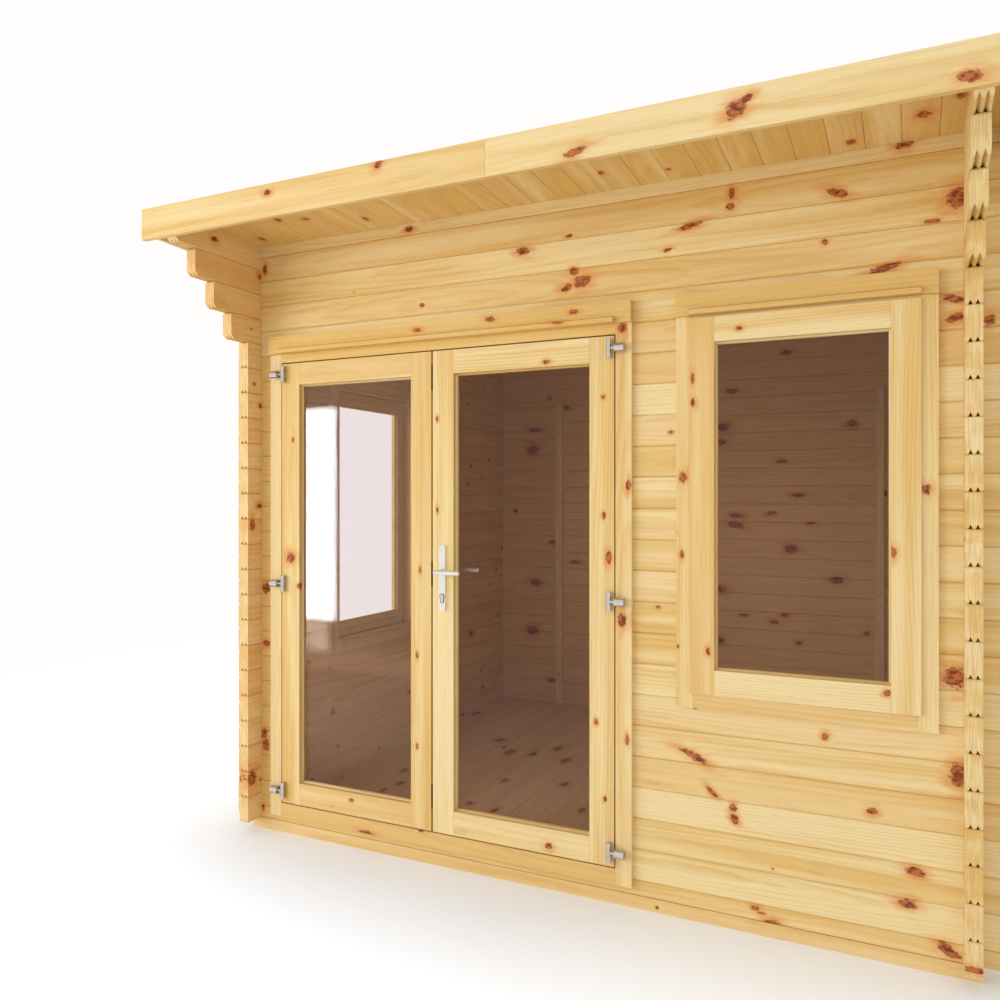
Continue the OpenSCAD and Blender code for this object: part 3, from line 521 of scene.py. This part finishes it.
for part in ("base_log", "low_logs", "mid_logs", "right_logs", "top_logs"):
    node = "front_wall_" + part
    dress(pine("front_" + part, ALONG_X, (WHOLE, FRONT_COURSES, about(FRONT_MID)), 1.0,
               knots=knots_near(WALL_KNOTS, node), gap=0.9, size=0.007, share=0.25, width=LOG_H,
               sapwood=SAPWOOD), node)
# Painted shade: tone 0.40 makes the logs left of the door darker and more golden, for the shadow of the
# corner pillar beside them.
corner_logs_painted_shade = pine("corner_logs_painted_shade", ALONG_X, (WHOLE, FRONT_COURSES, about(FRONT_MID)), 1.5, width=LOG_H,
                   knots=CORNER_KNOTS, share=0.0, tone=0.40)
dress(corner_logs_painted_shade, "front_wall_left_logs")
rear_logs = pine("rear_logs", ALONG_X, (WHOLE, FRONT_COURSES, about(BACK_MID)), 2.0, width=LOG_H,
                 knots=REAR_KNOTS, share=0.2, calm=0.7)
dress(rear_logs, "rear_wall_logs")
left_logs = pine("left_logs", ALONG_Y, (WHOLE, SIDE_COURSES, about(-SIDE_MID)), 3.0, width=LOG_H,
                 knots=LEFT_WALL_KNOTS, calm=0.4)
dress(left_logs, "left_wall_low_logs", "left_wall_front_logs", "left_wall_rear_logs", "left_wall_top_logs")
right_logs = pine("right_logs", ALONG_Y, (WHOLE, SIDE_COURSES, about(SIDE_MID)), 4.0, width=LOG_H)
dress(right_logs, "right_wall_logs", "right_wall_top_logs")
purlin_wood = pine("purlin_wood", ALONG_X, (WHOLE, WHOLE, PURLINS), 5.0)
dress(purlin_wood, "roof_purlins")
fascia_wood = pine("fascia_wood", ALONG_X, (FASCIA_BOARDS, about(FASCIA_Z), about(FASCIA_Y)), 6.0,
                   knots=FASCIA_KNOTS, share=0.15, size=0.008)
dress(fascia_wood, "front_fascia")
edge_wood = pine("edge_wood", ALONG_X, (WHOLE, about(EDGE_Z), WHOLE), 7.0, turned=EDGE_TURN)
dress(edge_wood, "roof_edge_boards")
bearer_wood = pine("bearer_wood", ALONG_Y, (WHOLE, WHOLE, BEARERS), 8.0, turned=BEARER_TURN, tone=0.12)
dress(bearer_wood, "floor_bearers")

jamb_wood = pine("jamb_wood", UPRIGHT_X, (WHOLE, JAMBS, about(FRAME_Y)), 9.0,
                 knots=JAMB_KNOTS, size=0.006, spread=0.04, gap=0.4, share=0.15, tone=-0.15)
dress(jamb_wood, "door_jambs")
head_wood = pine("head_wood", ALONG_X, (DOOR_OR_WINDOW, SILL_OR_HEAD, HEAD_DEPTHS), 10.0,
                 knots=SILL_KNOTS + HEAD_KNOTS, share=0.2, size=0.008, tone=0.32)
dress(head_wood, "door_head", "door_threshold", "front_head_trims", "front_drip_bars")
left_leaf_stiles = pine("left_leaf_stiles", UPRIGHT_X, (WHOLE, LEFT_STILES, about(LEAF_Y)), 11.0,
                        knots=STILE_KNOTS, size=0.006, gap=0.5, share=0.15, tone=0.10)
dress(left_leaf_stiles, "left_door_stiles")
right_leaf_stiles = pine("right_leaf_stiles", UPRIGHT_X, (WHOLE, RIGHT_STILES, about(LEAF_Y)), 12.0,
                         knots=RIGHT_STILE_KNOTS, size=0.006, gap=0.5, share=0.15, tone=0.14)
dress(right_leaf_stiles, "right_door_stiles")
leaf_rail_wood = pine("leaf_rail_wood", ALONG_X, (LEFT_OR_RIGHT, LEAF_RAILS, about(LEAF_Y)), 13.0,
                      knots=RAIL_KNOTS, size=0.005, gap=0.3, share=0.15)
dress(leaf_rail_wood, "left_door_rails", "right_door_rails")
front_frame_wood = pine("front_frame_wood", ALONG_X, (WHOLE, FRAME_RAILS, about(FRAME_Y)), 14.0,
                        turned=FRAME_TURN, knots=FRAME_KNOTS, size=0.006, gap=0.4, share=0.1)
dress(front_frame_wood, "front_window_frame")
front_sash_wood = pine("front_sash_wood", ALONG_X, (WHOLE, SASH_RAILS, about(LEAF_Y)), 15.0, knots=SASH_KNOTS,
                       turned=SASH_TURN, lean=0.35, size=0.006, gap=0.4, share=0.1)
dress(front_sash_wood, "front_window_sash")
side_wood = pine("side_wood", ALONG_Y, (WHOLE, SASH_RAILS, WHOLE), 16.0, turned=SIDE_TURN,
                 size=0.008, gap=0.4, share=0.25)
dress(side_wood, "side_window_frame", "side_window_sash", "side_window_head_trims", "side_window_drip_bar")
brace_wood = pine("brace_wood", UPRIGHT_X, (WHOLE, BRACES, WHOLE), 17.0)
dress(brace_wood, "storm_braces")

METAL_GRAIN = 900.0
METAL_CLOUD = (35.0, 35.0, 35.0)
METAL_DULL = 0.94
METAL_BUMP = (0.08, 0.0003)


def metal(name, color, rough, streak):
    """Plated or brushed metal: a worked roughness with fine streaks along Z."""
    material, b, shader = new_material(name)
    point = b.new("ShaderNodeTexCoord").outputs["Object"]
    fine = b.noise(b.vector("MULTIPLY", point, (METAL_GRAIN, METAL_GRAIN, streak)), 3.0, 0.6)
    wide = b.noise(b.vector("MULTIPLY", point, METAL_CLOUD), 2.0)
    dull = tuple(c*METAL_DULL for c in color[:3]) + (1.0,)
    b.put(shader.inputs["Base Color"], b.mix(b.smooth(wide, 0.35, 0.7), color, dull))
    b.put(shader.inputs["Roughness"], b.math("MULTIPLY_ADD", fine, 0.14, rough))
    shader.inputs["Metallic"].default_value = 1.0
    b.bump(shader, fine, *METAL_BUMP)
    return material


hinge_steel = metal("hinge_steel", linear(206, 203, 205), rough=0.18, streak=240.0)
dress(hinge_steel, "door_hinge_pins", "left_door_hinges", "right_door_hinges")
handle_metal = metal("handle_metal", linear(240, 237, 232), rough=0.48, streak=60.0)
dress(handle_metal, "handle_plates", "door_lever", "lock_cylinder")
keep_steel = metal("keep_steel", linear(58, 52, 46), rough=0.45, streak=60.0)
dress(keep_steel, "lock_keeps")

GLASS_TINT = linear(245, 240, 242)
GLASS_IOR = 1.25
FILM = (9.0, 9.0, 4.0)
FILM_ROUGH = 0.03


def glazing():
    """Clear double glazing that lets the lamps through."""
    material, b, shader = new_material("glazing")
    shader.inputs["Base Color"].default_value = GLASS_TINT
    shader.inputs["Transmission Weight"].default_value = 1.0
    shader.inputs["IOR"].default_value = GLASS_IOR
    point = b.new("ShaderNodeTexCoord").outputs["Object"]
    film = b.noise(b.vector("MULTIPLY", point, FILM), 3.0, 0.6)
    b.put(shader.inputs["Roughness"], b.smooth(film, 0.45, 0.9, 0.0, FILM_ROUGH))
    open_way = b.new("ShaderNodeBsdfTransparent")
    open_way.inputs["Color"].default_value = GLASS_TINT
    path = b.new("ShaderNodeLightPath").outputs
    through = b.math("MAXIMUM", path["Is Shadow Ray"], path["Is Diffuse Ray"])
    b.show(b.blend(through, shader.outputs[0], open_way.outputs[0]))
    return material


dress(glazing(), "left_door_glass", "right_door_glass", "front_window_glass", "side_window_glass")

FELT_DARK = linear(58, 62, 64)
FELT_PALE = linear(96, 100, 101)
FELT_WORN = linear(70, 74, 74)
FELT_GRIT = 420.0
FELT_PATCH = (3.0, 3.0, 3.0)
FELT_BUMP = (0.5, 0.0012)


def felt_material():
    """Roofing felt with a mineral finish."""
    material, b, shader = new_material("mineral_felt")
    point = b.new("ShaderNodeTexCoord").outputs["Object"]
    grit = b.new("ShaderNodeTexVoronoi")
    b.put(grit.inputs["Vector"], point)
    grit.inputs["Scale"].default_value = FELT_GRIT
    patch = b.noise(b.vector("MULTIPLY", point, FELT_PATCH), 4.0, 0.6)
    grain = b.mix(b.math("MULTIPLY", grit.outputs["Distance"], 0.9), FELT_DARK, FELT_PALE)
    b.put(shader.inputs["Base Color"], b.mix(b.smooth(patch, 0.35, 0.7, 0.0, 0.5), grain, FELT_WORN))
    b.put(shader.inputs["Roughness"], b.math("MULTIPLY_ADD", grit.outputs["Distance"], 0.1, 0.85))
    b.bump(shader, grit.outputs["Distance"], *FELT_BUMP)
    return material


def add_piece(name, verts, faces, material, body, replaces=()):
    """A piece of the scene that rides on a body, perhaps in place of CAD nodes."""
    mesh = bpy.data.meshes.new(name)
    mesh.from_pydata(verts, [], faces)
    bm = bmesh.new()
    bm.from_mesh(mesh)
    bmesh.ops.recalc_face_normals(bm, faces=bm.faces)
    bm.to_mesh(mesh)
    bm.free()
    mesh.materials.append(material)
    obj = new_object(name, mesh)
    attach(obj, body)
    if replaces:
        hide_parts(*replaces)


def band(faces, first, second, count):
    """Adds the faces between two rings of count points that start at first and second."""
    for i in range(count):
        j = (i + 1) % count
        faces.append((first + i, first + j, second + j, second + i))


def prism(verts, faces, section, ends, lift):
    """Adds a closed bar along Y between ends: section is a ring of (x, z), and lift(y) its height."""
    first = len(verts)
    count = len(section)
    for y in ends:
        verts.extend((x, y, z + lift(y)) for x, z in section)
    band(faces, first, first + count, count)
    faces.append(tuple(first + i for i in range(count)))
    faces.append(tuple(first + count + i for i in reversed(range(count))))


BOARD_GAP = 0.0003


def board_step(box, pitch):
    """How many boards of about pitch fill box along X, and how wide each of them is."""
    length = box[1].x - box[0].x
    count = round(length/pitch)
    return count, length/count


def boards(name, box, pitch, thick, lift, vee, vee_up, material, node):
    """Tongued boards along Y that fill box in X and Y, with small bevels below or above."""
    low, high = box
    count, width = board_step(box, pitch)
    verts, faces = [], []
    for i in range(count):
        x0 = low.x + i*width + BOARD_GAP
        x1 = low.x + (i + 1)*width - BOARD_GAP
        if vee_up:
            section = [(x0, 0), (x1, 0), (x1, thick - vee), (x1 - vee, thick), (x0 + vee, thick),
                       (x0, thick - vee)]
        else:
            section = [(x0, vee), (x0 + vee, 0), (x1 - vee, 0), (x1, vee), (x1, thick), (x0, thick)]
        prism(verts, faces, section, (low.y, high.y), lift)
    add_piece(name, verts, faces, material, "cabin", (node,))


ROOF_PITCH = 0.098
ROOF_VEE = 0.002
roof_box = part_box("roof_deck")
roof_cells = (roof_box[0].x, board_step(roof_box, ROOF_PITCH)[1])
# Painted shade: tone 0.22 makes the soffit boards more golden, for the warm shade under the eave.
soffit_wood = pine("soffit_wood", ROOF_Y, (WHOLE, roof_cells, about(SOFFIT_Z)), 18.0,
                   knots=SOFFIT_KNOTS, gap=0.7, size=0.010, share=0.15, tone=0.22)
boards("roof_boards", roof_box, ROOF_PITCH, ROOF_T, soffit, ROOF_VEE, vee_up=False, material=soffit_wood,
       node="roof_deck")

FLOOR_PITCH = 0.115
FLOOR_VEE = 0.0015
floor_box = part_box("floor_deck")
floor_cells = (floor_box[0].x, board_step(floor_box, FLOOR_PITCH)[1])
floor_wood = pine("floor_wood", ROOF_Y, (WHOLE, floor_cells, about(DECK_Z)), 19.0,
                  knots=FLOOR_KNOTS, share=0.3, calm=0.5)
boards("floor_boards", floor_box, FLOOR_PITCH, floor_box[1].z - floor_box[0].z, lambda y: floor_box[0].z,
       FLOOR_VEE, vee_up=True, material=floor_wood, node="floor_deck")

FELT_STRIPS = 3
FELT_LAP = 0.06
FELT_RISE = 0.024
FELT_SEAT = 0.0004


def felt_sheets():
    """Strips of felt along X, each lapped over the one below it on the fall."""
    low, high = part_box("roof_felt")
    depth = (high.y - low.y)/FELT_STRIPS
    foot = ROOF_T + FELT_SEAT
    verts, faces = [], []
    for i in range(FELT_STRIPS):
        last = i == FELT_STRIPS - 1
        y0 = low.y + i*depth
        y1 = high.y if last else y0 + depth + FELT_LAP
        raised = 0.0 if last else FELT_T
        lap = y1 - FELT_LAP
        line = [(y0, 0.0), (lap - FELT_RISE, 0.0), (lap, raised), (y1, raised)]
        for x in (low.x, high.x):
            verts.extend((x, y, soffit(y) + foot + up) for y, up in line)
            verts.extend((x, y, soffit(y) + foot + up + FELT_T) for y, up in line)
        n = len(line)
        first = 4*n*i
        for a in range(first, first + n - 1):
            faces.append((a, a + 1, a + 2*n + 1, a + 2*n))
            faces.append((a + n, a + 3*n, a + 3*n + 1, a + n + 1))
            faces.append((a, a + n, a + n + 1, a + 1))
            faces.append((a + 2*n, a + 2*n + 1, a + 3*n + 1, a + 3*n))
        for a in (first, first + n - 1):
            faces.append((a, a + n, a + 3*n, a + 2*n))
    add_piece("felt_sheets", verts, faces, felt_material(), "cabin", ("roof_felt",))


felt_sheets()

# Beads that hold the panes
BEAD_W = 0.006
BEAD_FRONT = 0.006
BEAD_BACK = 0.004
BEAD_SEAT = 0.0002


def beads(name, glass_node, body, seed):
    """A bevelled bead round a pane on both of its faces."""
    low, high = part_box(glass_node)
    thin = 1 if high.y - low.y < high.x - low.x else 0
    wide = 1 - thin
    verts, faces = [], []
    for face, way, out in ((low[thin], -1.0, BEAD_FRONT), (high[thin], 1.0, BEAD_BACK)):
        first = len(verts)
        for inset, proud in ((0.0, BEAD_SEAT), (0.0, out), (BEAD_W/3, out), (BEAD_W, BEAD_SEAT)):
            left, right = low[wide] + inset, high[wide] - inset
            foot, head = low.z + inset, high.z - inset
            for side, z in ((left, foot), (right, foot), (right, head), (left, head)):
                place = [0.0, 0.0, z]
                place[wide] = side
                place[thin] = face + way*proud
                verts.append(tuple(place))
        for k in range(4):
            band(faces, first + 4*k, first + 4*((k + 1) % 4), 4)
    upright, level = (UPRIGHT_X, ALONG_X) if wide == 0 else (UPRIGHT_Y, ALONG_Y)
    middle, half = (low.z + high.z)/2, (high.z - low.z)/2
    wood = pine(name + "_wood", upright, (WHOLE, ((low[wide] + high[wide])/2 - FAR, FAR), WHOLE), seed,
                turned=(2, middle, half - BEAD_W, level), share=0.0, tone=0.15)
    add_piece(name, verts, faces, wood, body)


beads("left_door_beads", "left_door_glass", "left_door", 20.0)
beads("right_door_beads", "right_door_glass", "right_door", 21.0)
beads("front_window_beads", "front_window_glass", "cabin", 22.0)
beads("side_window_beads", "side_window_glass", "cabin", 23.0)

# Painted shadow round the lock and in its key slot, screws of the handle, bolts of the storm braces
LOCK_R = 0.0085
LOCK_TAIL = 0.019
LOCK_TAIL_W = 0.010
LOCK_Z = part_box("lock_cylinder")[1].z - LOCK_R
plate_low, plate_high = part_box("handle_plates")
PLATE_X = (plate_low.x + plate_high.x)/2
PLATE_Z = (plate_low.z + plate_high.z)/2
PLATE_FACES = ((plate_low.y, -1.0), (plate_high.y, 1.0))
SCREW_UP = 0.106
GAP_OUT = 0.0014
GAP_IN = -0.0006
GAP_PROUD = 0.0026
GAP_SEAT = 0.0001
SLOT_W = 0.0016
SLOT_H = 0.0084
DISC_STEPS = 24
TAIL_STEPS = 8
HEAD_STEPS = 20


def lock_profile(grow):
    """Outline of a lock cylinder about its middle, as (x, z): a disc with a tail below it."""
    r, w = LOCK_R + grow, LOCK_TAIL_W/2 + grow
    start = math.asin(w/r)
    ring = []
    for k in range(DISC_STEPS + 1):
        a = -math.pi/2 + start + k/DISC_STEPS*(2*math.pi - 2*start)
        ring.append((r*math.cos(a), r*math.sin(a)))
    for k in range(TAIL_STEPS + 1):
        a = math.pi + k/TAIL_STEPS*math.pi
        ring.append((w*math.cos(a), -LOCK_TAIL + w*math.sin(a)))
    return ring


def lock_gap_painted_shadow():
    """A dark ring standing proud of the plate, a painted shadow of the gap round the lock cylinder, and a
    dark patch painted for the shade in its key slot, on both faces of the door.
    """
    verts, faces = [], []
    w, h = SLOT_W/2, SLOT_H/2
    slot = [(-w, -h), (w, -h), (w, h), (-w, h)]
    outer, inner = lock_profile(GAP_OUT), lock_profile(GAP_IN)
    for face, way in PLATE_FACES:
        front, seat = face + way*GAP_PROUD, face + way*GAP_SEAT
        first, count = len(verts), len(outer)
        for ring, y in ((outer, seat), (outer, front), (inner, front), (inner, seat)):
            verts.extend((PLATE_X + x, y, LOCK_Z + z) for x, z in ring)
        for k in range(4):
            band(faces, first + count*k, first + count*((k + 1) % 4), count)
        first = len(verts)
        for y in (seat, front):
            verts.extend((PLATE_X + x, y, LOCK_Z + z) for x, z in slot)
        faces.append(tuple(first + i for i in range(4)))
        faces.append(tuple(first + 4 + i for i in range(4)))
        band(faces, first, first + 4, 4)
    # keep_steel gives this ring and slot a dark colour as painted shadow, not as a steel part.
    add_piece("lock_gap_painted_shadow", verts, faces, keep_steel, "right_door")


lock_gap_painted_shadow()


def heads(name, places, rings, material, body):
    """Round screw or bolt heads. places are (x, y, z, way along Y), rings (radius, height)."""
    verts, faces = [], []
    for x, y, z, way in places:
        first = len(verts)
        for radius, height in rings:
            for k in range(HEAD_STEPS):
                a = 2*math.pi*k/HEAD_STEPS
                verts.append((x + radius*math.cos(a), y + way*height, z + radius*math.sin(a)))
        last = first + (len(rings) - 1)*HEAD_STEPS
        for ring in range(first, last, HEAD_STEPS):
            band(faces, ring, ring + HEAD_STEPS, HEAD_STEPS)
        faces.append(tuple(first + i for i in range(HEAD_STEPS)))
        faces.append(tuple(last + i for i in range(HEAD_STEPS)))
    add_piece(name, verts, faces, material, body)


SCREW = ((0.0034, 0.0001), (0.0034, 0.0006), (0.0026, 0.0011), (0.0012, 0.0013))
BOLT = ((0.0075, 0.0001), (0.0075, 0.0012), (0.0062, 0.0026), (0.0025, 0.0034))
heads("plate_screws", [(PLATE_X, face, PLATE_Z + up, way) for face, way in PLATE_FACES
                       for up in (-SCREW_UP, SCREW_UP)], SCREW, handle_metal, "right_door")
BRACE_W = 0.045
BOLT_LEVELS = (0.25, 1.02, 1.79)
brace_low, brace_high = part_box("storm_braces")
heads("brace_bolts", [(x, brace_low.y, z, -1.0) for x in (brace_low.x + BRACE_W/2, brace_high.x - BRACE_W/2)
                      for z in BOLT_LEVELS], BOLT, hinge_steel, "cabin")

# Studio
WHITE = (1.0, 0.985, 0.97, 1.0)
WARM = (1.0, 0.82, 0.58, 1.0)
FLOOR_GLOW = (0.96, 0.89, 0.80, 1.0)
FLOOR_WHITE = linear(244, 249, 255)
FLOOR_PATCH = (0.6, 0.6, 0.6)
FLOOR_DULL = 0.985
FLOOR_REACH = 60.0
FLOOR_LIFT = 0.48
LIFT_SPAN = (-0.3, 1.0)
FADE_SPAN = (1.6, 4.2)
LIFT_COLOR = (0.80, 0.88, 1.0, 1.0)
WALL_X = SIDE_MID + LOG_T/2
WALL_Y = BACK_MID - MID_Y + LOG_T/2


def rays_that_see(b):
    """1 for the rays that show the stage itself, in the open, in a mirror or through glass."""
    path = b.new("ShaderNodeLightPath").outputs
    return b.math("MAXIMUM", path["Is Camera Ray"],
                  b.math("MAXIMUM", path["Is Glossy Ray"], path["Is Transmission Ray"]))


def stage_material(name):
    """A white floor whose emission lift grows away from the cabin, a painted shade near it on top of the real
    shadow, and which runs out into the white behind it.
    """
    material, b, shader = new_material(name)
    point = b.new("ShaderNodeTexCoord").outputs["Object"]
    seen = rays_that_see(b)
    patch = b.noise(b.vector("MULTIPLY", point, FLOOR_PATCH), 2.0)
    shown = b.mix(patch, FLOOR_WHITE, tuple(c*FLOOR_DULL for c in FLOOR_WHITE[:3]) + (1.0,))
    b.put(shader.inputs["Base Color"], b.mix(seen, FLOOR_GLOW, shown))
    shader.inputs["Roughness"].default_value = 0.9
    shader.inputs["Specular IOR Level"].default_value = 0.0
    shader.inputs["Emission Color"].default_value = LIFT_COLOR
    x, y, _ = b.split(point)
    out_x = b.math("SUBTRACT", b.math("ABSOLUTE", x), WALL_X)
    out_y = b.math("SUBTRACT", b.math("ABSOLUTE", b.math("SUBTRACT", y, MID_Y)), WALL_Y)
    clear = b.vector("LENGTH", b.vector("MAXIMUM", b.join(out_x, out_y, 0.0), (0.0, 0.0, 0.0)))
    # Painted shade: the lift is small next to the cabin and grows over about a metre out, so the floor is
    # darker near the cabin than its real shadow makes it.
    lift = b.smooth(clear, *LIFT_SPAN, 0.0, FLOOR_LIFT)
    b.put(shader.inputs["Emission Strength"], b.math("MULTIPLY", seen, lift))
    away = b.smooth(clear, *FADE_SPAN)
    far = b.new("ShaderNodeEmission")
    far.inputs["Color"].default_value = WHITE
    b.show(b.blend(b.math("MULTIPLY", away, seen), shader.outputs[0], far.outputs[0]))
    return material


def floor():
    """The ground, flat and far enough out to meet the sky."""
    mesh = bpy.data.meshes.new("studio_floor")
    r = FLOOR_REACH
    mesh.from_pydata([(-r, -r, 0), (r, -r, 0), (r, r, 0), (-r, r, 0)], [], [(0, 1, 2, 3)])
    mesh.materials.append(stage_material("studio_white"))
    new_object("studio_floor", mesh)


floor()

EVEN = (1.0, 1.0, 1.0, 1.0)
LOW_GLOW = 1.06
HIGH_GLOW = 0.82
RIGHT_DIM = -0.25


def world():
    """A white sky. Its light is warmer and weaker from the right, and weaker from high up."""
    sky = bpy.data.worlds.new("studio")
    bpy.context.scene.world = sky
    sky.use_nodes = True
    b = Nodes(sky.node_tree)
    shade = sky.node_tree.nodes["Background"]
    seen = rays_that_see(b)
    x, _, up = b.split(b.new("ShaderNodeTexCoord").outputs["Generated"])
    right = b.smooth(x, 0.1, 0.9)
    b.put(shade.inputs["Color"], b.mix(seen, b.mix(right, EVEN, WARM), WHITE))
    dim = b.math("MULTIPLY_ADD", right, RIGHT_DIM, 1.0)
    glow = b.math("MULTIPLY", b.smooth(up, 0.05, 0.85, LOW_GLOW, HIGH_GLOW), dim)
    b.put(shade.inputs["Strength"], b.math("MULTIPLY_ADD", seen, b.math("SUBTRACT", 1.0, glow), glow))


world()

SOFT_AT = (-5.0, -5.4, 2.0)
SOFT_TO = (0.0, -1.0, 1.3)
SOFT_SIZE = (5.0, 3.0)
SOFT_POWER = 150.0


def soft_lamp():
    """A large lamp at the front left, which shows in no reflection."""
    data = bpy.data.lights.new("front_soft", "AREA")
    data.energy = SOFT_POWER
    data.shape = "RECTANGLE"
    data.size, data.size_y = SOFT_SIZE
    obj = new_object("front_soft", data)
    obj.location = SOFT_AT
    obj.rotation_euler = (Vector(SOFT_TO) - Vector(SOFT_AT)).to_track_quat("-Z", "Y").to_euler()
    obj.visible_glossy = False
    obj.visible_transmission = False


soft_lamp()

# Cards, whose reflections show in one pane
CARD_PANE = "left_door_glass"
CARD_Y = -3.78
CARD_LIFT = 0.004
CARD_WHITE = (0.93, 0.96, 1.0, 1.0)
CARD_CREAM = (1.0, 0.86, 0.65, 1.0)
CARD_WARM = (1.0, 0.62, 0.40, 1.0)


def card(name, low, high, flat, edge, glow, color):
    """A bright card that shows only as a reflection in the pane. It stands at CARD_Y, from low to high in
    X and Z, or lies flat just over the floor, in X and Y, and fades out over its edges."""
    mesh = bpy.data.meshes.new(name)
    ring = [(low[0], low[1]), (high[0], low[1]), (high[0], high[1]), (low[0], high[1])]
    verts = [(x, t, CARD_LIFT) if flat else (x, CARD_Y, t) for x, t in ring]
    mesh.from_pydata(verts, [], [(0, 1, 2, 3)])
    material, b, shader = new_material(name)
    material.node_tree.nodes.remove(shader)
    point = b.split(b.new("ShaderNodeTexCoord").outputs["Object"])
    for place, first, last in ((point[0], low[0], high[0]), (point[1 if flat else 2], low[1], high[1])):
        for end, way in ((first, 1.0), (last, -1.0)):
            inside = b.math("MULTIPLY", b.math("SUBTRACT", place, end), way)
            glow = b.math("MULTIPLY", b.smooth(inside, 0.0, edge), glow)
    light = b.new("ShaderNodeEmission")
    light.inputs["Color"].default_value = color
    b.put(light.inputs["Strength"], glow)
    both = b.new("ShaderNodeAddShader")
    b.fill(both.inputs, (light.outputs[0], b.new("ShaderNodeBsdfTransparent").outputs[0]))
    b.show(both.outputs[0])
    mesh.materials.append(material)
    obj = new_object(name, mesh)
    obj.visible_camera = False
    obj.visible_diffuse = False
    obj.visible_transmission = False
    obj.visible_shadow = False
    lit = bpy.data.collections.new(name + "_lights")
    lit.objects.link(nodes[CARD_PANE])
    obj.light_linking.receiver_collection = lit


card("card", (-3.440, 0.363), (-2.962, 2.136), flat=False, edge=0.08, glow=145.0, color=CARD_WHITE)
card("card_low", (-3.440, 0.100), (-3.020, 0.460), flat=False, edge=0.10, glow=25.0, color=CARD_CREAM)
card("card_haze", (-3.6, -0.1), (-2.0, 2.9), flat=False, edge=0.15, glow=3.6, color=CARD_WARM)
card("card_floor", (-4.4, -5.2), (-0.7, -1.3), flat=True, edge=1.0, glow=3.8, color=CARD_WARM)

camera_data = bpy.data.cameras.new("camera")
camera_data.lens = CAMERA_LENS
camera_data.sensor_width = CAMERA_SENSOR
camera_data.shift_y = CAMERA_SHIFT
camera = new_object("camera", camera_data)
camera.location = CAMERA_AT
camera.rotation_euler = (math.pi/2, 0.0, CAMERA_YAW)
bpy.context.scene.camera = camera
bpy.context.scene.view_settings.view_transform = "Standard"
